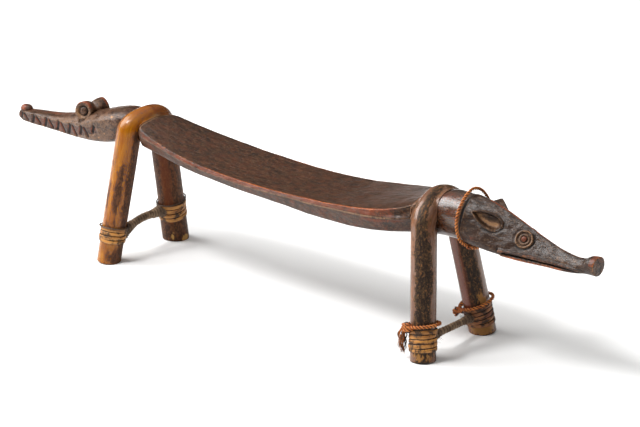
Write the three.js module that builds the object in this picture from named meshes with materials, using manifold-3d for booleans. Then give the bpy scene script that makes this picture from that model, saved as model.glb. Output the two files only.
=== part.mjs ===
// A carved wooden headrest: one bar with an animal head at each end, a dished
// seat in the middle, and two bent bamboo hoops for legs, lashed at the feet.
// Millimetres. +X runs along the bar to the long-snouted head, +Y is the far
// side, +Z is up, and the origin is on the floor under the middle of the bar.
// Lengthwise places below count from the seat's lowest point instead.

import * as THREE from "three";
import { mergeVertices } from "three/addons/utils/BufferGeometryUtils.js";
import Module from "manifold-3d";

const wasm = await Module();
wasm.setup();

// Driving dimensions

const GAP = 0.35; // clearance between two pieces that touch
const NECK_LEFT_X = -183; // where the left hoop crosses the bar
const NECK_RIGHT_X = 171.5; // where the right hoop crosses the bar
const SNOUT_END_X = 349; // flat end of the long snout
const JAW_TIP_X = -352.6; // tip of the toothed snout

const FACET_TOLERANCE = 0.05;
const BAMBOO_SIDES = 16;
const CANE_THICKNESS = 1.25;

// The bar's lengthwise lines, each a curve through [x, value] points. The half
// section at any x runs from the top line down over the edge, the arris and
// the lower edge to the bottom line.

const BAR = {
  topHeight: [
    [-352.6, 105.5], [-348.5, 108.2], [-335, 110], [-313, 112.1], [-291, 115.7],
    [-250, 127.6], [-216, 138.4], [-203, 140.8], [-186, 139.2], [-176, 138.8],
    [-170.6, 137.4], [-160, 134.4], [-130, 126.6], [-90, 120.2], [-45, 116.6],
    [0, 115.6], [50, 117.8], [90, 122], [120, 127], [150, 133.8],
    [178, 144.4], [192, 147.8], [209, 148.4], [213.6, 149.4], [228, 148],
    [241, 145.2], [258, 139.6], [296, 125.2], [314, 119.8], [328, 118],
    [334, 118.4], [342, 122], [349, 123],
  ],
  edgeWidth: [
    [-352.6, 1.6], [-348.5, 3.2], [-330, 5.4], [-270, 9.6], [-240, 12.5],
    [-215, 13.2], [-195, 12.2], [-174.5, 13], [-170.6, 23.5], [-166, 26.8],
    [-150, 30.4], [-110, 35.6], [-60, 38.2], [-20, 38.4], [30, 37.6],
    [80, 39.8], [115, 41.4], [135, 40], [150, 35.6], [162, 28],
    [172, 19.6], [184, 15], [214, 14], [235, 13], [275, 8.2],
    [300, 5.6], [325, 4.6], [334, 4.8], [342, 6.2], [349, 6.3],
  ],
  edgeHeight: [
    [-352.6, 105], [-348.5, 107.8], [-335, 109.3], [-313, 111.3], [-291, 114.6],
    [-250, 125.6], [-216, 136.4], [-203, 138.4], [-190, 137.2], [-176, 136.2],
    [-170.6, 134], [-160, 130.8], [-130, 124.8], [-90, 119.7], [-45, 116.6],
    [0, 115.7], [50, 117.3], [90, 121.1], [120, 125.2], [150, 130.8],
    [178, 139.6], [192, 142.2], [214, 141.6], [235, 136.6], [278, 122.9],
    [296, 118.9], [314, 116], [328, 115.4], [334, 116], [342, 120],
    [349, 120.6],
  ],
  arrisWidth: [
    [-352.6, 3], [-348.5, 5.3], [-340, 7], [-300, 11.2], [-260, 18.4],
    [-243, 21.2], [-228, 22], [-210, 21], [-203, 19.4], [-198, 17.4],
    [-174.5, 17.4], [-170.6, 25.4], [-166, 28.4], [-150, 31.8], [-110, 37],
    [-60, 39.7], [-20, 40], [30, 39.4], [80, 41.6], [115, 43.2],
    [135, 42.2], [150, 39], [162, 33.4], [174, 25.4], [184, 21.2],
    [209, 20.4], [214, 22.2], [235, 23], [255, 21.2], [295, 13.2],
    [313, 9.9], [326, 8.2], [333.5, 7.8], [342, 8.7], [349, 8.8],
  ],
  arrisHeight: [
    [-352.6, 103], [-348.5, 107], [-326, 108], [-290, 111.5], [-250, 119.4],
    [-216, 129.8], [-203, 130.6], [-190, 128], [-170.6, 126.8], [-150, 125],
    [-110, 118.8], [-70, 114.8], [-20, 113], [50, 114.2], [90, 117],
    [145, 121.2], [185, 125.4], [210, 125.2], [214, 122], [235, 114.6],
    [250, 112.2], [285, 109.3], [314, 108.3], [326, 109.2], [333.5, 111],
    [342, 114.2], [349, 114.6],
  ],
  lowerWidth: [
    [-352.6, 2], [-348.5, 4], [-320, 7.2], [-290, 10.2], [-260, 15],
    [-235, 18], [-212, 17.4], [-203, 15], [-198, 12.6], [-174.5, 12.6],
    [-170.6, 21], [-166, 24.4], [-150, 28.4], [-90, 34.6], [-30, 36],
    [20, 35.4], [80, 37.6], [115, 38.6], [140, 36], [160, 27],
    [176, 18.6], [190, 15], [209, 14.8], [214, 17.4], [240, 18.4],
    [255, 17.2], [300, 10], [314, 8.2], [333.5, 5.9], [349, 6.2],
  ],
  lowerHeight: [
    [-352.6, 99.6], [-348.5, 98.1], [-330, 98.7], [-280, 100], [-245, 102.9],
    [-217, 107.6], [-210.5, 110.6], [-203, 114.6], [-190, 116.2], [-166, 115.6],
    [-150, 115], [-110, 110.6], [-70, 107.6], [10, 103.4], [50, 101.7],
    [90, 102.4], [120, 104.6], [165, 109.4], [205, 110.2], [240, 107.9],
    [272, 106.1], [300, 104.5], [314, 104.1], [326, 104.5], [342, 107.4],
    [349, 107.7],
  ],
  bottomHeight: [
    [-352.6, 99], [-348.5, 96.8], [-330, 96.6], [-280, 97.4], [-245, 100],
    [-217, 105], [-203, 111.4], [-190, 112.4], [-166, 110.6], [-110, 104.6],
    [-30, 99.6], [50, 96.8], [90, 97.4], [145, 102], [185, 105],
    [214, 105], [240, 103], [280, 102.2], [316, 102.4], [328, 103.2],
    [336, 104.8], [349, 105.1],
  ],
  // Outward swell of the two side facets between edge, arris and lower edge
  sideSwell: [
    [-352.6, 0.5], [-300, 0.2], [-215, 0.8], [-203, 1.2], [-176, 1.4],
    [-170, 0.6], [-150, 0], [130, 0], [150, -1.2], [163, -1],
    [176, 0.8], [190, 1.5], [209, 1.5], [225, 1], [300, 0.7], [349, 0.7],
  ],
  // Shape of the top between its middle and its edges: 1 is a keel, 2 a crown
  topShape: [
    [-200, 2], [205, 2], [213, 1.6], [222, 1.35], [300, 1.3], [325, 1.6], [340, 2],
  ],
};

// How finely the bar's surface is divided
const BAR_STATIONS = { ends: 14, seat: 31, neck: 11, detail: 5, lip: 2.2 };
const SECTION_STEPS = { top: 3, chamfer: 2, side: 2, bottom: 2 };

// Geometry helpers

// A smooth curve through [x, value] points that never overshoots them
function lineThrough(points) {
  const n = points.length;
  const slope = [];
  for (let i = 0; i < n - 1; i++) {
    slope.push((points[i + 1][1] - points[i][1]) / (points[i + 1][0] - points[i][0]));
  }
  const tangent = points.map((_, i) => {
    if (i === 0) return slope[0];
    if (i === n - 1) return slope[n - 2];
    const a = slope[i - 1];
    const b = slope[i];
    return a * b <= 0 ? 0 : (2 * a * b) / (a + b);
  });
  return (x) => {
    if (x <= points[0][0]) return points[0][1];
    if (x >= points[n - 1][0]) return points[n - 1][1];
    let i = 0;
    while (x > points[i + 1][0]) i++;
    const h = points[i + 1][0] - points[i][0];
    const t = (x - points[i][0]) / h;
    const t2 = t * t;
    const t3 = t2 * t;
    return (
      (2 * t3 - 3 * t2 + 1) * points[i][1] + (t3 - 2 * t2 + t) * h * tangent[i] +
      (-2 * t3 + 3 * t2) * points[i + 1][1] + (t3 - t2) * h * tangent[i + 1]
    );
  };
}

// A closed solid through a row of rings with the same number of points
function loft(rings) {
  const count = rings[0].length;
  const positions = [];
  const index = [];
  for (const ring of rings) for (const p of ring) positions.push(p.x, p.y, p.z);
  for (let r = 0; r < rings.length - 1; r++) {
    for (let i = 0; i < count; i++) {
      const a = r * count + i;
      const b = r * count + ((i + 1) % count);
      index.push(a, b, a + count, b, b + count, a + count);
    }
  }
  for (const [r, flip] of [[0, true], [rings.length - 1, false]]) {
    const centre = new THREE.Vector3();
    for (const p of rings[r]) centre.addScaledVector(p, 1 / count);
    const c = positions.length / 3;
    positions.push(centre.x, centre.y, centre.z);
    for (let i = 0; i < count; i++) {
      const a = r * count + i;
      const b = r * count + ((i + 1) % count);
      if (flip) index.push(c, b, a);
      else index.push(c, a, b);
    }
  }
  const geometry = new THREE.BufferGeometry();
  geometry.setAttribute("position", new THREE.Float32BufferAttribute(positions, 3));
  geometry.setIndex(index);
  return geometry;
}

// A manifold solid from a closed geometry, turned outward if it is inside out
function solid(geometry) {
  let g = geometry.clone();
  g.deleteAttribute("normal");
  g.deleteAttribute("uv");
  g = mergeVertices(g, 1e-4);
  let volume = 0;
  const p = g.attributes.position;
  const at = (i) => new THREE.Vector3().fromBufferAttribute(p, i);
  const triangles = Array.from(g.index.array);
  for (let i = 0; i < triangles.length; i += 3) {
    const [a, b, c] = [at(triangles[i]), at(triangles[i + 1]), at(triangles[i + 2])];
    volume += a.dot(b.cross(c)) / 6;
  }
  if (volume < 0) {
    for (let i = 0; i < triangles.length; i += 3) {
      [triangles[i + 1], triangles[i + 2]] = [triangles[i + 2], triangles[i + 1]];
    }
  }
  return new wasm.Manifold(
    new wasm.Mesh({
      numProp: 3,
      vertProperties: new Float32Array(p.array),
      triVerts: new Uint32Array(triangles),
    }),
  );
}

// A three.js geometry from a manifold: its largest body, without needless facets
function geometryOf(manifold) {
  const bodies = manifold.simplify(FACET_TOLERANCE).decompose();
  bodies.sort((a, b) => b.volume() - a.volume());
  const mesh = bodies[0].getMesh();
  const geometry = new THREE.BufferGeometry();
  geometry.setAttribute("position", new THREE.Float32BufferAttribute(mesh.vertProperties, 3));
  geometry.setIndex(Array.from(mesh.triVerts));
  geometry.computeVertexNormals();
  return geometry;
}

function joined(solids) {
  return solids.reduce((a, b) => a.add(b));
}

// Geometry moved so that its own +Z points along a direction from an origin
function placed(geometry, origin, direction, spin = 0) {
  const turn = new THREE.Quaternion().setFromUnitVectors(
    new THREE.Vector3(0, 0, 1),
    direction.clone().normalize(),
  );
  const matrix = new THREE.Matrix4().compose(origin, turn, new THREE.Vector3(1, 1, 1));
  return geometry.clone().rotateZ(spin).applyMatrix4(matrix);
}

// A round rod along a path, with a radius that may change along it
function rod(path, radius, sides, steps, closed = false) {
  const frames = path.computeFrenetFrames(steps, closed);
  const rings = [];
  const last = closed ? steps - 1 : steps;
  for (let i = 0; i <= last; i++) {
    const t = i / steps;
    const centre = path.getPointAt(t);
    const r = typeof radius === "function" ? radius(t) : radius;
    const ring = [];
    for (let k = 0; k < sides; k++) {
      const a = (2 * Math.PI * k) / sides;
      ring.push(
        centre.clone()
          .addScaledVector(frames.normals[i], r * Math.cos(a))
          .addScaledVector(frames.binormals[i], r * Math.sin(a)),
      );
    }
    rings.push(ring);
  }
  if (!closed) return loft(rings);
  return closedTube(rings);
}

// The skin of a ring-shaped tube, whose last ring joins its first
function closedTube(rings) {
  const count = rings[0].length;
  const positions = rings.flat().flatMap((p) => [p.x, p.y, p.z]);
  const index = [];
  for (let r = 0; r < rings.length; r++) {
    const next = (r + 1) % rings.length;
    for (let i = 0; i < count; i++) {
      const j = (i + 1) % count;
      const [a, b, c, d] = [r * count + i, r * count + j, next * count + i, next * count + j];
      index.push(a, b, c, b, d, c);
    }
  }
  const geometry = new THREE.BufferGeometry();
  geometry.setAttribute("position", new THREE.Float32BufferAttribute(positions, 3));
  geometry.setIndex(index);
  return geometry;
}

function curve(points) {
  return new THREE.CatmullRomCurve3(points.map((p) => new THREE.Vector3(...p)), false, "centripetal");
}

// The carved bar

const barLine = Object.fromEntries(
  Object.entries(BAR).map(([name, points]) => [name, lineThrough(points)]),
);

// One ring of the bar's surface at x, grown outward by a margin
function barRing(x, margin = 0) {
  const [T, wE, zE, wA, zA, wL, zL, B, swell, shape] = [
    "topHeight", "edgeWidth", "edgeHeight", "arrisWidth", "arrisHeight",
    "lowerWidth", "lowerHeight", "bottomHeight", "sideSwell", "topShape",
  ].map((name) => barLine[name](x));
  const half = [];
  for (let i = 0; i < SECTION_STEPS.top; i++) {
    const s = i / SECTION_STEPS.top;
    half.push([wE * s, zE + (T - zE) * (1 - s ** shape)]);
  }
  for (const [y0, z0, y1, z1, steps] of [
    [wE, zE, wA, zA, SECTION_STEPS.chamfer],
    [wA, zA, wL, zL, SECTION_STEPS.side],
  ]) {
    const length = Math.hypot(y1 - y0, z1 - z0);
    for (let i = 0; i < steps; i++) {
      const s = i / steps;
      const bulge = 4 * s * (1 - s) * swell;
      half.push([
        y0 + (y1 - y0) * s + ((z0 - z1) / length) * bulge,
        z0 + (z1 - z0) * s + ((y1 - y0) / length) * bulge,
      ]);
    }
  }
  for (let i = 0; i <= SECTION_STEPS.bottom; i++) {
    const s = 1 - i / SECTION_STEPS.bottom;
    half.push([wL * s, B + (zL - B) * s ** 2.2]);
  }
  const ring = [...half, ...half.slice(1, -1).reverse().map(([y, z]) => [-y, z])];
  const middle = (zA + B) / 2;
  return ring.map(([y, z]) => {
    const d = Math.hypot(y, z - middle) || 1;
    return new THREE.Vector3(x, y + (y / d) * margin, z + ((z - middle) / d) * margin);
  });
}

// Stations along the bar: close together at the heads and the seat's ends
function barStations() {
  const spans = [
    [JAW_TIP_X, -344, BAR_STATIONS.detail],
    [-344, -214, BAR_STATIONS.ends],
    [-214, -197, BAR_STATIONS.detail],
    [-197, -174.5, BAR_STATIONS.neck],
    [-174.5, -166, BAR_STATIONS.lip],
    [-166, 138, BAR_STATIONS.seat],
    [138, 180, BAR_STATIONS.ends],
    [180, 209, BAR_STATIONS.neck],
    [209, 214, BAR_STATIONS.lip],
    [214, 325, BAR_STATIONS.ends],
    [325, SNOUT_END_X, BAR_STATIONS.detail],
  ];
  const stations = [];
  for (const [from, to, step] of spans) {
    const count = Math.max(1, Math.round((to - from) / step));
    for (let i = 0; i < count; i++) stations.push(from + ((to - from) * i) / count);
  }
  stations.push(SNOUT_END_X);
  return stations;
}

function barBody(margin = 0) {
  return loft(barStations().map((x) => barRing(x, margin)));
}

// A point on the bar's side facet between edge and arris (s = 0 to 1) and the
// outward direction there; side is -1 for the near side and 1 for the far one
function onSlope(x, s, side) {
  const pointAt = (px, ps) =>
    new THREE.Vector3(
      px,
      side * THREE.MathUtils.lerp(barLine.edgeWidth(px), barLine.arrisWidth(px), ps),
      THREE.MathUtils.lerp(barLine.edgeHeight(px), barLine.arrisHeight(px), ps),
    );
  const along = pointAt(x + 2, s).sub(pointAt(x - 2, s));
  const down = pointAt(x, s + 0.1).sub(pointAt(x, s - 0.1));
  const normal = along.cross(down).normalize();
  if (normal.y * side < 0) normal.negate();
  return { point: pointAt(x, s), normal };
}

// A turned shape from [radius, height] points
function turned(profile, segments) {
  return new THREE.LatheGeometry(
    profile.map(([r, z]) => new THREE.Vector2(r, z)),
    segments,
  ).rotateX(Math.PI / 2);
}

// Goggle eyes of the toothed head: barrel-shaped stubs on top of it, each with
// a ring sunk in its outer face. A stub's root is how far its buried end lies from
// the bar's middle plane; the carver set the far one further back and closer in.
const GOGGLES = {
  near: { side: -1, x: -256.8, z: 127.8, root: 4.3 },
  far: { side: 1, x: -252.6, z: 127.9, root: 2.5 },
  radius: 8.7,
  length: 10,
  yaw: 0.12,
  tilt: 0.1,
};

function goggleEye({ side, x, z, root }) {
  const { radius: r, length: l } = GOGGLES;
  const profile = [
    [0, -1], [r - 2, -1], [r, l * 0.45], [r - 1.1, l - 0.3],
    [r - 2.1, l - 0.3], [r - 2.7, l - 2.4], [3.8, l - 2.4], [2.6, l - 0.4], [0, l],
  ];
  return placed(
    turned(profile, 12),
    new THREE.Vector3(x, side * root, z),
    new THREE.Vector3(GOGGLES.yaw, side, GOGGLES.tilt),
  );
}

// Round boss on top of the toothed snout's tip
const NOSE_KNOB = { x: -343.6, z: 109.2, length: 6.4, width: 5.4, height: 4.4 };

function noseKnob() {
  return new THREE.SphereGeometry(1, 10, 6)
    .scale(NOSE_KNOB.length, NOSE_KNOB.width, NOSE_KNOB.height)
    .translate(NOSE_KNOB.x, 0, NOSE_KNOB.z);
}

// Teeth of the toothed head: upright and slanting grooves cut in turn
const TEETH = { first: -346, last: -235, count: 7, width: 2.5, depth: 1.7, slant: 0.72 };

function teethGrooves(side) {
  const cuts = [];
  const pitch = (TEETH.last - TEETH.first) / (TEETH.count - 1);
  const groove = (x, slant, width) => {
    const top = barLine.arrisHeight(x) - 1.6;
    const low = Math.min(top - 4, barLine.lowerHeight(x) + 1.8 + (x > -262 ? (x + 262) * 0.16 : 0));
    const topWidth = barLine.arrisWidth(x);
    const lowWidth = barLine.lowerWidth(x);
    const run = (barLine.arrisWidth(x + 3) - barLine.arrisWidth(x - 3)) / 6;
    const cut = new THREE.BoxGeometry(width, 2 * TEETH.depth, Math.hypot(top - low, topWidth - lowWidth));
    cut.rotateY(slant);
    cut.rotateX(side * Math.atan2(topWidth - lowWidth, top - low) * -0.75);
    cut.rotateZ(side * Math.atan(run));
    const drop = (barLine.arrisHeight(x) - (top + low) / 2) / (barLine.arrisHeight(x) - barLine.lowerHeight(x));
    cut.translate(x, side * THREE.MathUtils.lerp(topWidth, lowWidth, drop), (top + low) / 2);
    return cut;
  };
  for (let i = 0; i < TEETH.count; i++) {
    const x = TEETH.first + i * pitch;
    cuts.push(groove(x, 0, TEETH.width));
    if (i < TEETH.count - 1) cuts.push(groove(x + pitch * 0.45, -TEETH.slant, TEETH.width * 0.7));
  }
  return cuts;
}

// Leaf-shaped hollow ears of the long-snouted head
const EARS = {
  near: { side: -1, x: 236.8, slope: 0.06, length: 32, lift: 0.28 },
  far: { side: 1, x: 233.4, slope: 0.12, length: 37, lift: 0.24 },
};
const EAR = { width: 16, height: 4.2, rim: 2.2, hollow: 4.2 };

function leafShape(length, width) {
  const shape = new THREE.Shape();
  shape.moveTo(-length / 2, 0);
  shape.bezierCurveTo(-length * 0.25, width * 0.5, length * 0.2, width * 0.62, length * 0.44, width * 0.36);
  shape.bezierCurveTo(length * 0.54, width * 0.2, length * 0.54, -width * 0.2, length * 0.4, -width * 0.4);
  shape.bezierCurveTo(length * 0.1, -width * 0.62, -length * 0.25, -width * 0.4, -length / 2, 0);
  return shape;
}

function ear({ side, x, slope, length, lift }) {
  const { point, normal } = onSlope(x, slope, side);
  const tail = onSlope(x + 14, slope, side).point.sub(point).normalize();
  const across = normal.clone().cross(tail).normalize();
  tail.copy(across).cross(normal);
  const basis = new THREE.Matrix4()
    .makeBasis(tail, across, normal)
    .setPosition(point)
    .multiply(new THREE.Matrix4().makeRotationY(lift));
  const slab = (shape, from, to) =>
    new THREE.ExtrudeGeometry(shape, { depth: to - from, bevelEnabled: false, curveSegments: 3 })
      .translate(0, 0, from)
      .applyMatrix4(basis);
  return {
    rim: slab(leafShape(length, EAR.width), -6, EAR.height),
    hollow: slab(
      leafShape(length - 2.4 * EAR.rim, EAR.width - 2 * EAR.rim),
      EAR.height - EAR.hollow,
      EAR.height + 5,
    ),
  };
}

// Ringed eyes of the long-snouted head; the far one stands up less
const RING_EYE = {
  x: 274.2, slope: 0.02, radius: 8.5, height: 1.5, groove: 1.5, pupil: 3.1, farSink: 1.1,
};

function ringEye(side) {
  const { radius: r, height: h, groove, pupil } = RING_EYE;
  const { point, normal } = onSlope(RING_EYE.x, RING_EYE.slope, side);
  const profile = [
    [0, -4], [r, -4], [r - 0.4, h], [r - 2, h], [r - 2.6, h - groove],
    [pupil + 0.6, h - groove], [pupil, h], [0, h + 0.3],
  ];
  if (side > 0) point.addScaledVector(normal, -RING_EYE.farSink);
  return placed(turned(profile, 12), point, normal);
}

// Lips of the long-snouted head: a raised strip with a slit under it
const LIPS = { from: 252, to: 334, ridge: 0.12, mouth: 0.56, radius: 1.5, slit: 1.1 };

function lipPath(side, s, out) {
  const points = [];
  for (let i = 0; i <= 6; i++) {
    const x = THREE.MathUtils.lerp(LIPS.from, LIPS.to, i / 6);
    points.push([
      x,
      side * (THREE.MathUtils.lerp(barLine.arrisWidth(x), barLine.lowerWidth(x), s) + out),
      THREE.MathUtils.lerp(barLine.arrisHeight(x), barLine.lowerHeight(x), s),
    ]);
  }
  return curve(points);
}

function carvedBar() {
  let bar = solid(barBody());
  for (const eye of [GOGGLES.near, GOGGLES.far]) bar = bar.add(solid(goggleEye(eye)));
  for (const place of [EARS.near, EARS.far]) {
    const leaf = ear(place);
    bar = bar.add(solid(leaf.rim)).subtract(solid(leaf.hollow));
  }
  for (const side of [-1, 1]) {
    bar = bar.add(solid(ringEye(side)));
    bar = bar.add(solid(rod(lipPath(side, LIPS.ridge, -0.4), LIPS.radius, 5, 6)));
    bar = bar.subtract(solid(rod(lipPath(side, LIPS.mouth, 0.5), LIPS.slit, 4, 6)));
    for (const cut of teethGrooves(side)) bar = bar.subtract(solid(cut));
  }
  return bar.add(solid(noseKnob()));
}

// Bamboo hoops: one culm each, bent over the bar, pared to its outer half there

const HOOPS = {
  left: {
    legs: {
      near: { side: -1, foot: [-193.9, 45.1], lean: 0.05, radius: [11.4, 11.9] },
      far: { side: 1, foot: [-190.6, 45.2], lean: 0.043, radius: [12.8, 12.4] },
    },
    splay: 0.196,
    shoulder: 125, // height where the bend begins
    top: 146.4,
    neck: NECK_LEFT_X,
    rise: 6, // how far the bend carries on up the leg's line
    run: 8, // and how far it lies level over the bar
  },
  right: {
    legs: {
      near: { side: -1, foot: [191.9, 45.6], lean: -0.1275, radius: [11.6, 11.8] },
      far: { side: 1, foot: [187.8, 44.9], lean: -0.148, radius: [12.5, 12.2] },
    },
    splay: 0.153,
    shoulder: 117,
    top: 147.2,
    neck: NECK_RIGHT_X,
    rise: 12,
    run: 10,
  },
};
const PARED = { from: 115, depth: 1.5 }; // above this height only the outer half is left

// A point on a leg's axis at a height above the floor
function legPoint(hoop, leg, z) {
  return new THREE.Vector3(
    leg.foot[0] + leg.lean * z,
    leg.side * (leg.foot[1] - hoop.splay * z),
    z,
  );
}

function legDirection(hoop, leg) {
  return legPoint(hoop, leg, 1).sub(legPoint(hoop, leg, 0)).normalize();
}

function legRadius(hoop, leg, z) {
  return THREE.MathUtils.lerp(leg.radius[0], leg.radius[1], z / hoop.shoulder);
}

// Half of the bend's axis, from a leg's shoulder to the middle over the bar
function halfBend(hoop, leg) {
  const start = legPoint(hoop, leg, hoop.shoulder);
  const up = legDirection(hoop, leg);
  const crown = new THREE.Vector3(hoop.neck, 0, hoop.top - legRadius(hoop, leg, hoop.shoulder));
  return new THREE.CubicBezierCurve3(
    start,
    start.clone().addScaledVector(up, hoop.rise),
    crown.clone().setY(leg.side * hoop.run),
    crown,
  );
}

// A culm section round its axis, cut flat on the inside at a depth
function culmRing(centre, tangent, radius, depth) {
  const side = new THREE.Vector3(1, 0, 0);
  side.addScaledVector(tangent, -side.dot(tangent)).normalize();
  const out = side.clone().cross(tangent).normalize();
  const ring = [];
  for (let k = 0; k < BAMBOO_SIDES; k++) {
    const a = (2 * Math.PI * k) / BAMBOO_SIDES;
    ring.push(
      centre.clone()
        .addScaledVector(side, radius * Math.cos(a))
        .addScaledVector(out, Math.max(radius * Math.sin(a), -depth)),
    );
  }
  return ring;
}

function bambooHoop(hoop, barCutter) {
  const { near, far } = hoop.legs;
  const rings = [];
  for (const z of [-0.4, 40, PARED.from - 0.6]) {
    rings.push(culmRing(legPoint(hoop, near, z), legDirection(hoop, near), legRadius(hoop, near, z), 99));
  }
  const paredFrom = (leg, back) => {
    const tangent = legDirection(hoop, leg).multiplyScalar(back ? -1 : 1);
    rings.push(
      culmRing(legPoint(hoop, leg, PARED.from), tangent, legRadius(hoop, leg, PARED.from), PARED.depth),
    );
  };
  paredFrom(near, false);
  const bendSteps = 6;
  for (const [leg, back] of [[near, false], [far, true]]) {
    const half = halfBend(hoop, leg);
    for (let i = back ? 1 : 0; i <= bendSteps; i++) {
      const t = (back ? bendSteps - i : i) / bendSteps;
      const tangent = half.getTangent(t).multiplyScalar(back ? -1 : 1);
      rings.push(culmRing(half.getPoint(t), tangent, legRadius(hoop, leg, hoop.shoulder), PARED.depth));
    }
  }
  paredFrom(far, true);
  for (const z of [PARED.from - 0.6, 40, -0.4]) {
    const down = legDirection(hoop, far).negate();
    rings.push(culmRing(legPoint(hoop, far, z), down, legRadius(hoop, far, z), 99));
  }
  const floor = new THREE.BoxGeometry(200, 200, 20).translate(near.foot[0], 0, -10);
  return solid(loft(rings)).subtract(barCutter).subtract(solid(floor));
}

// Split cane wound round a foot: a sleeve on which each turn laps over the last

const LASHINGS = {
  left_near: { hoop: HOOPS.left, leg: HOOPS.left.legs.near, from: 19, turns: 4, pitch: 3.9 },
  left_far: { hoop: HOOPS.left, leg: HOOPS.left.legs.far, from: 23.5, turns: 4, pitch: 4.5 },
  right_near: { hoop: HOOPS.right, leg: HOOPS.right.legs.near, from: 8, turns: 5, pitch: 4.2 },
  right_far: {
    hoop: HOOPS.right, leg: HOOPS.right.legs.far, from: 8, turns: 5, pitch: 3.9,
    // its turns close up at the tie and fan out on the other side of the foot
    fan: { bottom: -0.14, top: 0.16, towards: 0.7 },
  },
};

// Inner radius of a lashing: the culm and the clearance round it
function lashingRadius({ hoop, leg, from, turns, pitch }) {
  return Math.max(legRadius(hoop, leg, from), legRadius(hoop, leg, from + turns * pitch)) + GAP;
}

function lashing(place, margin = 0) {
  const { hoop, leg, from, turns, pitch, fan = { bottom: 0, top: 0, towards: 0 } } = place;
  const inner = lashingRadius(place);
  const outer = inner + CANE_THICKNESS;
  const height = turns * pitch;
  const profile = [];
  if (margin) {
    profile.push([0, -margin], [outer + margin, -margin], [outer + margin, height + margin], [0, height + margin]);
  } else {
    profile.push([inner, 0]);
    for (let i = 0; i < turns; i++) {
      const z = i * pitch;
      profile.push([outer - 0.7, z], [outer, z + 1.1]);
    }
    profile.push([outer - 0.5, height], [inner, height], [inner, 0]);
  }
  const sleeve = turned(profile, BAMBOO_SIDES);
  const p = sleeve.attributes.position;
  for (let i = 0; i < p.count; i++) {
    const reach = p.getX(i) * Math.cos(fan.towards) + p.getY(i) * Math.sin(fan.towards);
    p.setZ(i, p.getZ(i) + reach * THREE.MathUtils.lerp(fan.bottom, fan.top, p.getZ(i) / height));
  }
  return placed(sleeve, legPoint(hoop, leg, from), legDirection(hoop, leg));
}

// What a tie or cord at a foot must stay clear of: the culm and its lashing
function footClearance(place) {
  const { hoop, leg, from } = place;
  const radius = legRadius(hoop, leg, from) + GAP;
  const culm = new THREE.CylinderGeometry(radius, radius, 80, BAMBOO_SIDES).rotateX(Math.PI / 2);
  return solid(placed(culm, legPoint(hoop, leg, from + 20), legDirection(hoop, leg)))
    .add(solid(lashing(place, GAP)));
}

// Wrapped cords that tie the two feet of each hoop together

const TIES = {
  left: {
    path: [[-190.5, -31, 25], [-190, -22, 28.4], [-190.6, -8, 31.8], [-191.6, 6, 32.6], [-192, 17, 32], [-192, 31, 33]],
    radius: (t) => 3.8 + 3.2 * Math.max(0, 1 - t * 3.4) + 2.6 * Math.max(0, 1 - (1 - t) * 3),
  },
  right: {
    path: [[190, -33, 16.2], [190, -22, 18.2], [189, -6, 18], [187, 10, 17], [185.6, 31, 16.6]],
    radius: (t) => 3.3 + 1.6 * Math.max(0, 1 - t * 4) + 1.2 * Math.max(0, 1 - (1 - t) * 4),
  },
};

function crossTie(tie, lashings) {
  let body = solid(rod(curve(tie.path), tie.radius, 8, 11));
  for (const end of lashings) body = body.subtract(footClearance(end));
  return body;
}

// Twisted fibre cords

const CORD_RADIUS = 1.5;

// Points of a cord's turn round a leg: rise is how far above the lashing it runs
// on average, and tilt how much further up it goes in the direction towards
function legLoop(place, rise, tilt, towards, count = 12) {
  const { hoop, leg } = place;
  const z = place.from + place.turns * place.pitch + rise;
  const radius = lashingRadius(place) + CORD_RADIUS + 0.15;
  const axis = legDirection(hoop, leg);
  const u = new THREE.Vector3(1, 0, 0).addScaledVector(axis, -axis.x).normalize();
  const v = axis.clone().cross(u);
  const points = [];
  for (let i = 0; i < count; i++) {
    const a = (2 * Math.PI * i) / count;
    points.push(
      legPoint(hoop, leg, z + tilt * Math.cos(a - towards))
        .addScaledVector(u, radius * Math.cos(a))
        .addScaledVector(v, radius * Math.sin(a)),
    );
  }
  return points;
}

function loopRod(points, radius, sides, steps) {
  return rod(new THREE.CatmullRomCurve3(points, true, "centripetal"), radius, sides, steps, true);
}

function ball(x, y, z, ...radii) {
  return new THREE.SphereGeometry(1, 8, 6).scale(...radii).translate(x, y, z);
}

function nearFootCord() {
  const place = LASHINGS.right_near;
  const loop = loopRod(legLoop(place, 3.2, 1.2, 0.7), CORD_RADIUS, 8, 14);
  const knot = ball(182.8, -54.8, 31.4, 4.4, 3.4, 6);
  const tassel = rod(
    curve([[180, -54.4, 30], [176.2, -54, 26], [173.2, -53.6, 17], [174.8, -53.6, 8]]),
    (t) => 3.8 - 1.6 * t,
    8,
    4,
  );
  return joined([solid(loop), solid(knot), solid(tassel)]).subtract(footClearance(place));
}

function farFootCord() {
  const place = LASHINGS.right_far;
  const loop = loopRod(legLoop(place, 1.9, 2.2, 0.7), CORD_RADIUS, 8, 14);
  const knot = ball(169.6, 29.4, 19.4, 3.2, 3, 5);
  const upper = rod(curve([[170.4, 29.6, 22], [173, 30, 24.6], [175.2, 31, 27], [176.4, 32, 27]]), CORD_RADIUS, 6, 4);
  const lower = rod(curve([[170.6, 28.8, 20.6], [175.6, 27, 21.2], [179.8, 25.2, 22]]), CORD_RADIUS, 6, 3);
  return joined([solid(loop), solid(knot), solid(upper), solid(lower)]).subtract(footClearance(place));
}

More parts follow.
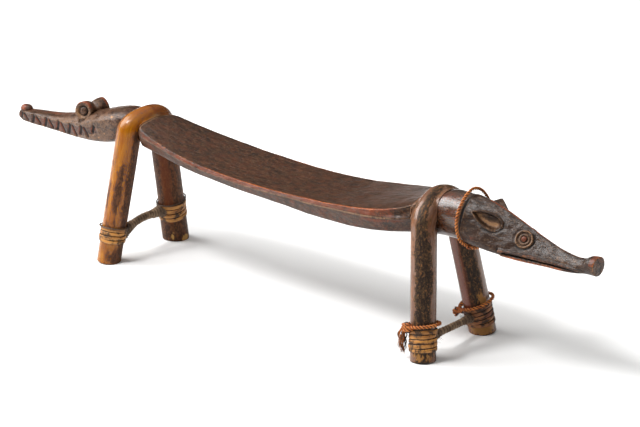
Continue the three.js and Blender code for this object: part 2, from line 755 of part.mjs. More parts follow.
// Cord tied round the neck behind the long-snouted head: it lies on the neck
// on the near side, stands clear over the top and hangs a little below
const NECK_CORD = [
  [211, -1, 154], [210.2, -9.1, 150.4], [210.2, -17.3, 142.9], [210.4, -22.2, 135.5],
  [210.6, -23.8, 127.4], [211, -22.8, 118.5], [212.2, -19.7, 110.5], [214, -14.2, 105.3],
  [216.6, -6.1, 101.4], [218, 3, 100.8], [216, 13.2, 103.5], [213.6, 20.3, 110.3],
  [212.2, 23.8, 118.9], [211.6, 24, 128], [211.2, 21.6, 136.6], [211, 16.3, 144.5], [211, 8.5, 151.2],
];

function neckCord() {
  const points = NECK_CORD.map((p) => new THREE.Vector3(...p));
  return loopRod(points, CORD_RADIUS, 8, 32);
}

// The pieces, with their colours

const FINISH = {
  wood: { color: 0x4b332b, roughness: 0.5 },
  bambooGold: { color: 0x9a6a22, roughness: 0.35 },
  bambooBrown: { color: 0x54433a, roughness: 0.45 },
  cane: { color: 0xa8773f, roughness: 0.55 },
  darkCane: { color: 0x6d4a30, roughness: 0.6 },
  tie: { color: 0x5d4d40, roughness: 0.8 },
  cord: { color: 0x9c5a2b, roughness: 0.75 },
};

const headrest = new THREE.Group();

function addPiece(name, geometry, finish) {
  const mesh = new THREE.Mesh(geometry, new THREE.MeshStandardMaterial({ ...FINISH[finish], metalness: 0 }));
  mesh.name = name;
  headrest.add(mesh);
}

addPiece("headrest_bar", geometryOf(carvedBar()), "wood");

const barCutter = solid(barBody(GAP));
addPiece("left_bamboo_hoop", geometryOf(bambooHoop(HOOPS.left, barCutter)), "bambooGold");
addPiece("right_bamboo_hoop", geometryOf(bambooHoop(HOOPS.right, barCutter)), "bambooBrown");

for (const [name, place] of Object.entries(LASHINGS)) {
  const finish = name === "right_far" ? "darkCane" : "cane";
  addPiece(`${name}_foot_lashing`, geometryOf(solid(lashing(place))), finish);
}

for (const end of ["left", "right"]) {
  const ends = [LASHINGS[`${end}_near`], LASHINGS[`${end}_far`]];
  addPiece(`${end}_cross_tie`, geometryOf(crossTie(TIES[end], ends)), "tie");
}

addPiece("right_near_foot_cord", geometryOf(nearFootCord()), "cord");
addPiece("right_far_foot_cord", geometryOf(farFootCord()), "cord");
addPiece("neck_cord", geometryOf(solid(neckCord())), "cord");

// The bar was drawn with x = 0 at the seat's lowest point: move its middle there
headrest.position.x = -(JAW_TIP_X + SNOUT_END_X) / 2;

export default headrest;
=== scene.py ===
# %% [markdown]
# # A carved headrest on bamboo legs
# A long bar of dark wood with a crocodile's head at one end and a long-snouted
# head at the other, standing on two hoops of bent bamboo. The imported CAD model
# comes in first as the frame: it says where every piece sits, and each piece
# below is made finer and takes a CAD node's place. Everything is drawn in
# millimetres, as a carver would measure it, and turned to metres at the end.

# %% The frame, and the measures kept for later
import functools
import math
import random

import bmesh
import bpy
import numpy as np
from mathutils import Matrix, Vector, noise


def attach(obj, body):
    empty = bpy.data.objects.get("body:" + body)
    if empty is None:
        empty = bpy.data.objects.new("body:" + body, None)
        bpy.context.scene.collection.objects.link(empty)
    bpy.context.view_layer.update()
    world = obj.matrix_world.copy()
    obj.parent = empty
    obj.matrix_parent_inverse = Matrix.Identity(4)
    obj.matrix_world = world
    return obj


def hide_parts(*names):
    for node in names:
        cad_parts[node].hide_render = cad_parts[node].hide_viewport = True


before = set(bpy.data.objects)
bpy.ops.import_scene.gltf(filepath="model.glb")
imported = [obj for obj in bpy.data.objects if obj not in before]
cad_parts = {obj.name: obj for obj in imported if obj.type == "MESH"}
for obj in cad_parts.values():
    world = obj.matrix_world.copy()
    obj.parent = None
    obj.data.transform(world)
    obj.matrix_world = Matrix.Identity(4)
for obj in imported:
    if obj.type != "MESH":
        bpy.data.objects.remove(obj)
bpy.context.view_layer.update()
MM = 0.001  # a millimetre in the scene's metres
MIDDLE = 1.8  # millimetres from the seat's lowest point back to the bar's middle
TO_FRAME = Matrix.Scale(MM, 4) @ Matrix.Translation((MIDDLE, 0, 0))
random.seed(7)

# %% [markdown]
# ## Camera
# The photograph was taken from far away with a long lens, from a little above
# and well round to one side. A long lens hardly makes near things larger, so
# the bar's two heads keep their true proportions. The camera is set first,
# because each later step is judged through it.

# %% Camera
TARGET, DISTANCE = Vector((7.4, 30.7, 74.1)), 3532.2
AZIMUTH, ELEVATION, LENS = 40.726, 19.756, 214.56


def towards(azimuth, elevation):
    """The direction from the object to a viewer; azimuth 0 stands in front of it."""
    a, e = math.radians(azimuth), math.radians(elevation)
    return Vector((math.sin(a) * math.cos(e), -math.cos(a) * math.cos(e), math.sin(e)))


camera_data = bpy.data.cameras.new("camera")
camera_data.lens = LENS
camera_data.sensor_width = 36
camera = bpy.data.objects.new("camera", camera_data)
bpy.context.collection.objects.link(camera)
back = towards(AZIMUTH, ELEVATION)
camera.location = (TARGET + back * DISTANCE) * MM
camera.rotation_euler = (-back).to_track_quat("-Z", "Y").to_euler()
bpy.context.scene.camera = camera
print("camera stands at", tuple(round(c, 3) for c in camera.location))

# %% [markdown]
# ## Floor and light
# A pale floor, two lamps at the left and a room that is bright above and dim near
# the ground. The small key lamp throws the shadow with a readable edge. The large
# panel beside it is what polished wood and bamboo mirror as broad soft highlights.
# The dim lower room matters just as much: dark wood mirrors it too, and in an
# evenly white room it would look as if it lay under haze.

# %% Floor and light
def lamp(name, azimuth, elevation, distance, size, power):
    data = bpy.data.lights.new(name, "AREA")
    data.shape = "DISK"
    data.size = size
    data.energy = power
    obj = bpy.data.objects.new(name, data)
    bpy.context.collection.objects.link(obj)
    direction = towards(azimuth, elevation)
    obj.location = direction * distance
    obj.rotation_euler = direction.to_track_quat("Z", "Y").to_euler()
    print(name, "is", distance, "m away")


lamp("key_lamp", azimuth=-27, elevation=56.5, distance=3.2, size=0.8, power=64)
lamp("sheen_panel", azimuth=-66, elevation=38, distance=2.6, size=2.2, power=88)

ROOM_TINT = (1, 0.995, 0.985)
world = bpy.data.worlds.new("bright_ceiling")
world.use_nodes = True
nodes, links = world.node_tree.nodes, world.node_tree.links
direction, height, ceiling = (
    nodes.new("ShaderNode" + kind) for kind in ("TexCoord", "SeparateXYZ", "ValToRGB")
)
links.new(direction.outputs["Generated"], height.inputs[0])
links.new(height.outputs["Z"], ceiling.inputs[0])
ramp = ceiling.color_ramp
for place, level in ((0.25, 0.07), (0.5, 0.17), (0.75, 0.46)):
    ramp.elements.new(place).color = (*(level * tint for tint in ROOM_TINT), 1)
ramp.elements[0].color, ramp.elements[-1].color = (0.06, 0.06, 0.06, 1), (*ROOM_TINT, 1)
links.new(ceiling.outputs["Color"], nodes["Background"].inputs["Color"])
nodes["Background"].inputs["Strength"].default_value = 1.2
bpy.context.scene.world = world
bpy.context.scene.view_settings.view_transform = "Standard"

FLOOR_REACH = 7  # metres from the object to each side of the floor
bm = bmesh.new()
bmesh.ops.create_grid(bm, x_segments=1, y_segments=1, size=FLOOR_REACH)
floor_mesh = bpy.data.meshes.new("floor")
bm.to_mesh(floor_mesh)
bm.free()
floor = bpy.data.objects.new("floor", floor_mesh)
bpy.context.collection.objects.link(floor)
print("the floor is", 2 * FLOOR_REACH, "m wide")

# %% [markdown]
# ## Writing shader maths as maths
# A finish here is a network of nodes. Written out one by one they are hard to
# read, so a small class wraps a node's output and lets ordinary expressions add
# the Math nodes. A second class holds one material and has a single method that
# adds any other node. Its last helper lays paints over each other like coats:
# each has a share, which says where it covers and how well.

# %% Two helper classes for materials
class Amount:
    """A node's output in a sum: each operator adds one Math node."""

    def __init__(self, finish, socket):
        self.finish, self.socket = finish, socket

    def math(self, operation, first, second=0.0, **settings):
        return self.finish.node("ShaderNodeMath", {0: first, 1: second}, operation=operation, **settings)

    def __add__(self, other): return self.math("ADD", self, other)
    def __radd__(self, other): return self.math("ADD", other, self)
    def __sub__(self, other): return self.math("SUBTRACT", self, other)
    def __rsub__(self, other): return self.math("SUBTRACT", other, self)
    def __mul__(self, other): return self.math("MULTIPLY", self, other)
    def __rmul__(self, other): return self.math("MULTIPLY", other, self)
    def clamped(self): return self.math("ADD", self, use_clamp=True)


def paint(hex_code):
    """A colour as a paint chart gives it, made linear for the shader."""
    channels = [int(hex_code[i : i + 2], 16) / 255 for i in (0, 2, 4)]
    return tuple(c / 12.92 if c < 0.04045 else ((c + 0.055) / 1.055) ** 2.4 for c in channels) + (1.0,)


class Finish:
    """One material and the few kinds of node that its finish is written with."""

    def __init__(self, name):
        self.material = bpy.data.materials.new(name)
        self.material.use_nodes = True
        self.tree = self.material.node_tree
        self.tree.nodes.clear()

    def node(self, kind, sockets=None, output=0, **settings):
        node = self.tree.nodes.new(kind)
        for key, value in settings.items():
            setattr(node, key, value)
        for key, value in (sockets or {}).items():
            if isinstance(value, Amount):
                self.tree.links.new(value.socket, node.inputs[key])
            else:
                node.inputs[key].default_value = value
        return Amount(self, node.outputs[output])

    def place(self, stretch=(1, 1, 1)):
        """Object coordinates, stretched where a pattern runs with the grain."""
        where = self.node("ShaderNodeTexCoord", output="Object")
        return self.node("ShaderNodeMapping", {"Vector": where, "Scale": stretch})

    def along(self, stretch=(1, 1, 1)):
        """The piece's own coordinates: across, across and along its length."""
        where = self.node("ShaderNodeAttribute", output="Vector", attribute_name="grain")
        return self.node("ShaderNodeMapping", {"Vector": where, "Scale": stretch})

    def marks(self):
        """The four painted masks of a piece."""
        masks, fourth = (
            self.node("ShaderNodeAttribute", output=part, attribute_name="marks") for part in ("Color", "Alpha")
        )
        return [self.node("ShaderNodeSeparateColor", {"Color": masks}, output=i) for i in range(3)] + [fourth]

    def noise(self, where, scale, detail=4.0, roughness=0.55):
        sockets = {"Vector": where, "Scale": scale, "Detail": detail, "Roughness": roughness}
        return self.node("ShaderNodeTexNoise", sockets)

    def facets(self, where, scale):
        return self.node("ShaderNodeTexVoronoi", {"Vector": where, "Scale": scale}, feature="SMOOTH_F1")

    def band(self, value, low, high):
        """0 below low, 1 above high, eased between; low above high turns it round."""
        if low > high:
            return 1 - self.band(value, high, low)
        sockets = {"Value": value, "From Min": low, "From Max": high}
        return self.node("ShaderNodeMapRange", sockets, interpolation_type="SMOOTHSTEP")

    def mix(self, share, under, over):
        under, over = (paint(c) if isinstance(c, str) else c for c in (under, over))
        return self.node("ShaderNodeMix", {0: share, 6: under, 7: over}, output=2, data_type="RGBA")

    def coats(self, colour, *layers):
        """Lays (share, paint) coats over a colour, the first one lowest."""
        for share, over in layers:
            colour = self.mix(share, colour, over)
        return colour

    def bump(self, height, depth, under=None, strength=1.0):
        sockets = {"Height": height, "Distance": depth, "Strength": strength}
        if under is not None:
            sockets["Normal"] = under
        return self.node("ShaderNodeBump", sockets)

    def done(self, **sockets):
        """Ends the material in one Principled shader."""
        named = {key.replace("_", " "): value for key, value in sockets.items()}
        shader = self.node("ShaderNodeBsdfPrincipled", named)
        output = self.tree.nodes.new("ShaderNodeOutputMaterial")
        self.tree.links.new(shader.socket, output.inputs["Surface"])
        print("finish", self.material.name, "has", len(self.tree.nodes), "nodes")
        return self.material


pale = Finish("pale_floor")
floor_tone = pale.mix(pale.noise(pale.place(), 3.0, detail=2.0), "f4f4f3", "f8f8f8")
floor.data.materials.append(pale.done(Base_Color=floor_tone, Roughness=0.9))

# %% [markdown]
# ## One way to make every carved or wound piece
# A bar, a bamboo culm, a cane strip and a cord have one thing in common: each
# is a skin wrapped round a line. So each starts as a flat grid. Every vertex of
# the grid is moved to its place round the line, the two long edges are merged
# into a seam, and rows that are drawn in to one point close the ends. The grid
# also carries two extra values for the finishes: painted marks, and the grain,
# which is a place measured across and along the piece even where it bends.

# %% Directions, lengths and smooth lines
def unit(vectors):
    """The same directions with length 1."""
    return vectors / np.linalg.norm(vectors, axis=-1, keepdims=True)


def run_along(path):
    """How far each point of a path lies from its start, along the path."""
    return np.concatenate([[0], np.cumsum(np.linalg.norm(np.diff(path, axis=0), axis=1))])


def circle(count):
    """Angles once round, with the first one again at the end."""
    return np.linspace(0, 2 * np.pi, count + 1)


def closed(core):
    """The same columns with the first one again at the end."""
    return np.concatenate([core, core[:, :1]], axis=1)


def line_through(points):
    """A smooth curve through (x, value) points that never overshoots them."""
    xs, ys = np.array(points, float).T
    slope = np.diff(ys) / np.diff(xs)
    tangent = np.concatenate([slope[:1], np.zeros(len(xs) - 2), slope[-1:]])
    for i in range(1, len(xs) - 1):
        before, after = slope[i - 1], slope[i]
        tangent[i] = 0 if before * after <= 0 else 2 * before * after / (before + after)

    def value(x):
        x = np.clip(x, xs[0], xs[-1])
        i = np.clip(np.searchsorted(xs, x, side="right") - 1, 0, len(xs) - 2)
        h = xs[i + 1] - xs[i]
        t = (x - xs[i]) / h
        t2, t3 = t * t, t * t * t
        return ((2 * t3 - 3 * t2 + 1) * ys[i] + (t3 - 2 * t2 + t) * h * tangent[i]
                + (3 * t2 - 2 * t3) * ys[i + 1] + (t3 - t2) * h * tangent[i + 1])

    return value


def path_through(points, step, ring=False):
    """Evenly spaced points on a smooth path through a few given ones."""
    p = np.array(points, float)
    p = np.vstack([p[-1], p, p[0], p[1]]) if ring else np.vstack([2 * p[0] - p[1], p, 2 * p[-1] - p[-2]])
    fine = []
    for a, b, c, d in zip(p, p[1:], p[2:], p[3:]):
        t0, t1, t2, t3 = np.cumsum([0] + [max(np.linalg.norm(v), 1e-6) ** 0.5 for v in (b - a, c - b, d - c)])
        for t in np.linspace(t1, t2, 24, endpoint=False):
            ab = a + (b - a) * (t - t0) / (t1 - t0)
            bc = b + (c - b) * (t - t1) / (t2 - t1)
            cd = c + (d - c) * (t - t2) / (t3 - t2)
            abc = ab + (bc - ab) * (t - t0) / (t2 - t0)
            bcd = bc + (cd - bc) * (t - t1) / (t3 - t1)
            fine.append(abc + (bcd - abc) * (t - t1) / (t2 - t1))
    fine = np.array(fine + [p[-2]])
    length = run_along(fine)
    at = np.linspace(0, length[-1], max(3, round(length[-1] / step) + 1))
    return np.column_stack([np.interp(at, length, fine[:, k]) for k in range(3)])


def curve(t, a, b, c, d):
    """A curve from a to d that leaves towards b and arrives from c."""
    return (1 - t) ** 3 * a + 3 * t * (1 - t) ** 2 * b + 3 * t * t * (1 - t) * c + t ** 3 * d


print("a quarter circle's curve is", round(float(run_along(curve(
    np.linspace(0, 1, 50)[:, None], *np.array([(1, 0), (1, 0.55), (0.55, 1), (0, 1)])))[-1]), 3), "long")

# %% [markdown]
# A ring needs two directions across the line that it goes round. If they were
# worked out afresh at each point they could flip over at a bend and wring the
# skin. So each pair is the one before it, tipped only as far as the line bends.

# %% Frames and tubes
def frames_along(path, ring=False):
    """Two directions across a path that turn as little as they can along it."""
    tangent = np.gradient(path, axis=0)
    if ring:
        tangent[0] = tangent[-1] = path[1] - path[-2]
    tangent = unit(tangent)
    first, normals = np.array([0, 0, 1.0]), []
    for t in tangent:
        first = unit(first - t * first.dot(t))
        normals.append(first)
    normals = np.array(normals)
    if ring:
        ends = np.cross(normals[-1], normals[0]).dot(tangent[0])
        turn = math.atan2(ends, normals[-1].dot(normals[0])) * np.linspace(0, 1, len(path))[:, None]
        normals = normals * np.cos(turn) + np.cross(tangent, normals) * np.sin(turn)
    return normals, np.cross(tangent, normals)


def grain_of(radius, angle, length):
    """Where each point of a round skin lies in the piece's own coordinates."""
    lengthwise = np.broadcast_to(length[:, None], radius.shape)
    return np.dstack([radius * np.cos(angle), radius * np.sin(angle), lengthwise])


def tube(path, radius, around, ring=False):
    """Rings of points round a path; radius may change along it and round it."""
    across, up = frames_along(path, ring)
    angle = circle(around)
    rows = len(path) if np.ndim(radius) else 1
    radius = np.broadcast_to(np.asarray(radius, float).reshape(rows, -1), (len(path), around + 1))
    out = across[:, None] * np.cos(angle)[None, :, None] + up[:, None] * np.sin(angle)[None, :, None]
    return path[:, None] + out * radius[..., None], grain_of(radius, angle, run_along(path))


print("a tube's first ring:", tube(np.array([(0, 0, 0), (0, 1.0, 0)]), 1, 4)[0][0].round(2).tolist())

# %% [markdown]
# The last two helpers turn rings into a mesh and a mesh into a piece. Every skin
# goes into a bmesh, Blender's mesh for editing, so that several skins can make
# one piece. The piece then takes the place of its CAD node: it rides on the
# object's one body and replaces the node.

# %% Skins and pieces
SEAM = 1e-4  # millimetres within which two points of a skin become one


def skin(bm, points, grain=None, marks=None, ring=False):
    """Wraps a flat grid round the given rings of points, in one bmesh with others."""
    points = np.asarray(points, float)
    grain = points if grain is None else np.asarray(grain, float)
    marks = np.zeros((*points.shape[:2], 4)) if marks is None else np.asarray(marks, float)
    marks = np.pad(marks, ((0, 0), (0, 0), (0, 4 - marks.shape[2])))
    if not ring:
        poles = [end.mean(axis=1, keepdims=True) + 0 * end for end in (points[:1], points[-1:])]
        points = np.concatenate([poles[0], points, poles[1]])
        grain, marks = (np.concatenate([a[:1], a, a[-1:]]) for a in (grain, marks))
    rows, columns = points.shape[:2]
    layers = bm.verts.layers
    grain_layer = layers.float_vector.get("grain") or layers.float_vector.new("grain")
    marks_layer = layers.float_color.get("marks") or layers.float_color.new("marks")
    verts = bmesh.ops.create_grid(bm, x_segments=rows - 1, y_segments=columns - 1, size=1)["verts"]
    for k, vert in enumerate(verts):
        j, i = divmod(k, rows)
        vert.co = points[i, j]
        vert[grain_layer] = grain[i, j] * MM
        vert[marks_layer] = np.clip(marks[i, j], 0, 1)
    bmesh.ops.remove_doubles(bm, verts=verts, dist=SEAM)


def piece(name, bm, slot, finish, *nodes, sharp=None):
    """Puts a finished bmesh into the scene in the place of its CAD nodes."""
    bmesh.ops.recalc_face_normals(bm, faces=bm.faces)
    bmesh.ops.transform(bm, matrix=TO_FRAME, verts=bm.verts)
    mesh = bpy.data.meshes.new(name)
    bm.to_mesh(mesh)
    bm.free()
    mesh.shade_smooth()
    if sharp:
        mesh.set_sharp_from_angle(angle=math.radians(sharp))
    mesh.materials.append(finish)
    obj = bpy.data.objects.new(name, mesh)
    bpy.context.collection.objects.link(obj)
    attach(obj, "root")
    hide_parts(*nodes)
    print(name, "has", sum(len(p.vertices) - 2 for p in mesh.polygons), "triangles")


print("points closer than", SEAM, "mm become one")

# %% [markdown]
# ## The bar's sections
# The carver cut the whole bar from one plank. Its form is easiest to hold as a
# few lengthwise lines: the top, the edge where the top turns down, the arris
# below it, the lower edge and the underside. At any place along the bar these
# lines give one cross-section. The same lines shaped the CAD solid, so the
# finer bar falls exactly where that solid is.

# %% The bar's lines, in millimetres from the seat's lowest point
BAR = {
    "top": [
        (-352.6, 105.5), (-348.5, 108.2), (-335, 110), (-313, 112.1), (-291, 115.7),
        (-250, 127.6), (-216, 138.4), (-203, 140.8), (-186, 139.2), (-176, 138.8),
        (-170.6, 137.4), (-160, 134.4), (-130, 126.6), (-90, 120.2), (-45, 116.6),
        (0, 115.6), (50, 117.8), (90, 122), (120, 127), (150, 133.8),
        (178, 144.4), (192, 147.8), (209, 148.4), (213.6, 149.4), (228, 148),
        (241, 145.2), (258, 139.6), (296, 125.2), (314, 119.8), (328, 118),
        (334, 118.4), (342, 122), (349, 123),
    ],
    "edge_width": [
        (-352.6, 1.6), (-348.5, 3.2), (-330, 5.4), (-270, 9.6), (-240, 12.5),
        (-215, 13.2), (-195, 12.2), (-174.5, 13), (-170.6, 23.5), (-166, 26.8),
        (-150, 30.4), (-110, 35.6), (-60, 38.2), (-20, 38.4), (30, 37.6),
        (80, 39.8), (115, 41.4), (135, 40), (150, 35.6), (162, 28),
        (172, 19.6), (184, 15), (214, 14), (235, 13), (275, 8.2),
        (300, 5.6), (325, 4.6), (334, 4.8), (342, 6.2), (349, 6.3),
    ],
    "edge": [
        (-352.6, 105), (-348.5, 107.8), (-335, 109.3), (-313, 111.3), (-291, 114.6),
        (-250, 125.6), (-216, 136.4), (-203, 138.4), (-190, 137.2), (-176, 136.2),
        (-170.6, 134), (-160, 130.8), (-130, 124.8), (-90, 119.7), (-45, 116.6),
        (0, 115.7), (50, 117.3), (90, 121.1), (120, 125.2), (150, 130.8),
        (178, 139.6), (192, 142.2), (214, 141.6), (235, 136.6), (278, 122.9),
        (296, 118.9), (314, 116), (328, 115.4), (334, 116), (342, 120),
        (349, 120.6),
    ],
    "arris_width": [
        (-352.6, 3), (-348.5, 5.3), (-340, 7), (-300, 11.2), (-260, 18.4),
        (-243, 21.2), (-228, 22), (-210, 21), (-203, 19.4), (-198, 17.4),
        (-174.5, 17.4), (-170.6, 25.4), (-166, 28.4), (-150, 31.8), (-110, 37),
        (-60, 39.7), (-20, 40), (30, 39.4), (80, 41.6), (115, 43.2),
        (135, 42.2), (150, 39), (162, 33.4), (174, 25.4), (184, 21.2),
        (209, 20.4), (214, 22.2), (235, 23), (255, 21.2), (295, 13.2),
        (313, 9.9), (326, 8.2), (333.5, 7.8), (342, 8.7), (349, 8.8),
    ],
    "arris": [
        (-352.6, 103), (-348.5, 107), (-326, 108), (-290, 111.5), (-250, 119.4),
        (-216, 129.8), (-203, 130.6), (-190, 128), (-170.6, 126.8), (-150, 125),
        (-110, 118.8), (-70, 114.8), (-20, 113), (50, 114.2), (90, 117),
        (145, 121.2), (185, 125.4), (210, 125.2), (214, 122), (235, 114.6),
        (250, 112.2), (285, 109.3), (314, 108.3), (326, 109.2), (333.5, 111),
        (342, 114.2), (349, 114.6),
    ],
    "lower_width": [
        (-352.6, 2), (-348.5, 4), (-320, 7.2), (-290, 10.2), (-260, 15),
        (-235, 18), (-212, 17.4), (-203, 15), (-198, 12.6), (-174.5, 12.6),
        (-170.6, 21), (-166, 24.4), (-150, 28.4), (-90, 34.6), (-30, 36),
        (20, 35.4), (80, 37.6), (115, 38.6), (140, 36), (160, 27),
        (176, 18.6), (190, 15), (209, 14.8), (214, 17.4), (240, 18.4),
        (255, 17.2), (300, 10), (314, 8.2), (333.5, 5.9), (349, 6.2),
    ],
    "lower": [
        (-352.6, 99.6), (-348.5, 98.1), (-330, 98.7), (-280, 100), (-245, 102.9),
        (-217, 107.6), (-210.5, 110.6), (-203, 114.6), (-190, 116.2), (-166, 115.6),
        (-150, 115), (-110, 110.6), (-70, 107.6), (10, 103.4), (50, 101.7),
        (90, 102.4), (120, 104.6), (165, 109.4), (205, 110.2), (240, 107.9),
        (272, 106.1), (300, 104.5), (314, 104.1), (326, 104.5), (342, 107.4),
        (349, 107.7),
    ],
    "bottom": [
        (-352.6, 99), (-348.5, 96.8), (-330, 96.6), (-280, 97.4), (-245, 100),
        (-217, 105), (-203, 111.4), (-190, 112.4), (-166, 110.6), (-110, 104.6),
        (-30, 99.6), (50, 96.8), (90, 97.4), (145, 102), (185, 105),
        (214, 105), (240, 103), (280, 102.2), (316, 102.4), (328, 103.2),
        (336, 104.8), (349, 105.1),
    ],
    "side_swell": [
        (-352.6, 0.5), (-300, 0.2), (-215, 0.8), (-203, 1.2), (-176, 1.4),
        (-170, 0.6), (-150, 0), (130, 0), (150, -1.2), (163, -1),
        (176, 0.8), (190, 1.5), (209, 1.5), (225, 1), (300, 0.7), (349, 0.7),
    ],
    "top_shape": [
        (-200, 2), (205, 2), (213, 1.6), (222, 1.35), (300, 1.3), (325, 1.6), (340, 2),
    ],
}
line = {name: line_through(points) for name, points in BAR.items()}
JAW_TIP, SNOUT_END = BAR["top"][0][0], BAR["top"][-1][0]
STEPS = {"top": 16, "chamfer": 16, "side": 18, "bottom": 8}
print("the bar is", SNOUT_END - JAW_TIP, "mm long")


# %% [markdown]
# Half a cross-section is four strokes: the rounded top, the slanting face below
# it, the side and the underside. Each has a fixed number of points, so that the
# points of one ring join those of the next in straight lines along the bar, and
# a point's column tells which face it lies on. The other half mirrors it.

# %% A cross-section of the bar at any place
def bar_rings(x):
    """Whole rings of the bar's surface at the places x, starting at the top."""
    x = np.asarray(x, float)[:, None]
    at = {name: value(x) for name, value in line.items()}
    s = np.arange(STEPS["top"]) / STEPS["top"]
    half = [(at["edge_width"] * s, at["edge"] + (at["top"] - at["edge"]) * (1 - s ** at["top_shape"]))]
    for a, b, count in (("edge", "arris", STEPS["chamfer"]), ("arris", "lower", STEPS["side"])):
        y0, y1, z0, z1 = at[a + "_width"], at[b + "_width"], at[a], at[b]
        s = np.arange(count) / count
        swell = 4 * s * (1 - s) * at["side_swell"] / np.hypot(y1 - y0, z1 - z0)
        half.append((y0 + (y1 - y0) * s + (z0 - z1) * swell, z0 + (z1 - z0) * s + (y1 - y0) * swell))
    s = 1 - np.arange(STEPS["bottom"] + 1) / STEPS["bottom"]
    half.append((at["lower_width"] * s, at["bottom"] + (at["lower"] - at["bottom"]) * s ** 2.2))
    y, z = (np.concatenate([part[k] for part in half], axis=1) for k in (0, 1))
    y, z = (np.concatenate([a, sign * a[:, -2::-1]], axis=1) for a, sign in ((y, -1), (z, 1)))
    return np.dstack([np.broadcast_to(x, y.shape), y, z])


def spread(*spans):
    """Places along the bar, closer together where the carving is fine."""
    return np.concatenate([
        np.linspace(a, b, max(2, round((b - a) / step)), endpoint=False) for a, b, step in spans
    ])


print("a ring has", bar_rings([0.0]).shape[1] - 1, "points")

# %% [markdown]
# ## Carving the surface
# The teeth, the lips and the hollows are cut into the bar with small tools. In
# Blender they could be cut with Booleans, but a cut made that way has walls like
# a machined part. Here the fine skin itself is pushed in and out along its own
# direction by how far each point is from a named stroke, which leaves the soft
# shoulders of knife work. What is pushed is also painted, so that the finish can
# darken a cut with painted shade and brighten a rubbed edge.

# %% Strokes, and the places of the carved features
TEETH = {"first": -346.2, "last": -234.6, "count": 7, "width": 2.7, "depth": 2.7, "lean": -3.2}
PITCH = (TEETH["last"] - TEETH["first"]) / (TEETH["count"] - 1)
GOGGLE_YAW, GOGGLE_TILT = 0.22, 0.14
GOGGLES = {-1: {"x": -256.8, "z": 127.8, "root": 4.3}, 1: {"x": -252.6, "z": 127.9, "root": 2.5}}
EARS = {
    -1: {"x": 236.8, "slope": 0.06, "length": 32, "width": 16, "lift": 0.28},
    1: {"x": 232.5, "slope": 0.24, "length": 35, "width": 11, "lift": 0.52},
}
RING_EYE = {"x": 274.2, "slope": 0.02, "far_sink": 1.1}
upper_lip = line_through([(256, 113), (270, 113), (285, 112.6), (300, 111.6), (317, 110.4), (336, 109)])
mouth_slit = line_through([(256, 110.2), (270, 110), (290, 108.8), (300, 108.3), (314, 107.6), (336, 106.2)])
lower_lip = line_through([(252, 107.6), (276, 106.6), (290, 106.2), (303, 105.9), (318, 105.2)])


def eased(value, low, high):
    """0 below low, 1 above high, and a smooth rise between."""
    t = np.clip((value - low) / (high - low), 0, 1)
    return t * t * (3 - 2 * t)


def within(value, low, high, soft):
    """1 between low and high, falling to 0 over a soft border."""
    return eased(value, low - soft, low + soft) * (1 - eased(value, high - soft, high + soft))


def stroke(x, z, start, end, width):
    """1 along a straight knife stroke, falling to 0 at its half width."""
    dx, dz = end[0] - start[0], end[1] - start[1]
    t = np.clip(((x - start[0]) * dx + (z - start[1]) * dz) / (dx * dx + dz * dz), 0, 1)
    return np.clip(1 - np.hypot(x - start[0] - t * dx, z - start[1] - t * dz) / width, 0, 1)


def teeth_band(x):
    """Upper and lower edge of the sunken band that holds the teeth."""
    roof = line["arris"](x) - 1.2 - 4.1 * np.clip((x + 292) / 57, 0, 1)
    return roof, line["lower"](x) + 1.0 + 7.5 * np.clip((x + 275) / 40, 0, 1) ** 1.3


def teeth_cuts(x, z):
    """Depth of the toothed mouth: a shallow band with upright and slanting cuts."""
    roof, sill = teeth_band(x)
    cut = 0.8 * eased(roof - z, -0.35, 0.35) * within(x, -349.5, -230.5, 1.5) * eased(z - sill, -1.2, 0.6)
    for i in range(TEETH["count"]):
        at = TEETH["first"] + i * PITCH
        high, low = (float(np.interp(at, x[:, 0], edge[:, 0])) for edge in (roof, sill))
        foot = at + TEETH["lean"] * (high - low) / 8
        upright = stroke(x, z, (at, high - 0.3), (foot, low + 0.6), TEETH["width"])
        cut = np.maximum(cut, TEETH["depth"] * upright ** 0.6)
        if i < TEETH["count"] - 1:
            start, end = (at + 0.23 * PITCH, high - 0.3), (at + 0.45 * PITCH, low + 0.9)
            slanting = stroke(x, z, start, end, TEETH["width"] * 0.95)
            cut = np.maximum(cut, 0.85 * TEETH["depth"] * slanting ** 0.7)
    return cut


def lips(x, z):
    """Height of the long-snouted head's mouth: two strips and the slit between."""
    reach = within(x, 254.5, 338, 1.2)
    thin = np.interp(x, [254, 300, 336], [1.0, 0.8, 0.3])
    top, mid = upper_lip(x), mouth_slit(x)
    ridge = 2.1 * thin * within(z, mid + 0.9, top, 0.35) * reach
    slit = 2.6 * thin * np.exp(-((z - mid) / 0.85) ** 2) * within(x, 259, 338, 2)
    low = 1.1 * thin * within(z, lower_lip(x) - 0.4, mid - 0.8, 0.5) * within(x, 255.5, 318, 1.5)
    beads = np.clip(np.sin(x * 1.45), 0, 1) ** 4
    notch = 0.8 * np.exp(-((z - mid + 1.4) / 1.3) ** 2) * beads * within(x, 277, 308, 2)
    return ridge + low - slit - notch


print("the teeth are", round(PITCH, 1), "mm apart")

# %% [markdown]
# ## Ears and eyes
# The ears and all four eyes stand up from the heads with crisp rims, so they are
# wrapped skins of their own: an outline repeated at several heights. Each is
# sunk into the bar, which is hollowed a little under it, so that only the rim
# and the inside show. They are joined to the bar's mesh because on the real
# piece they are the same wood.

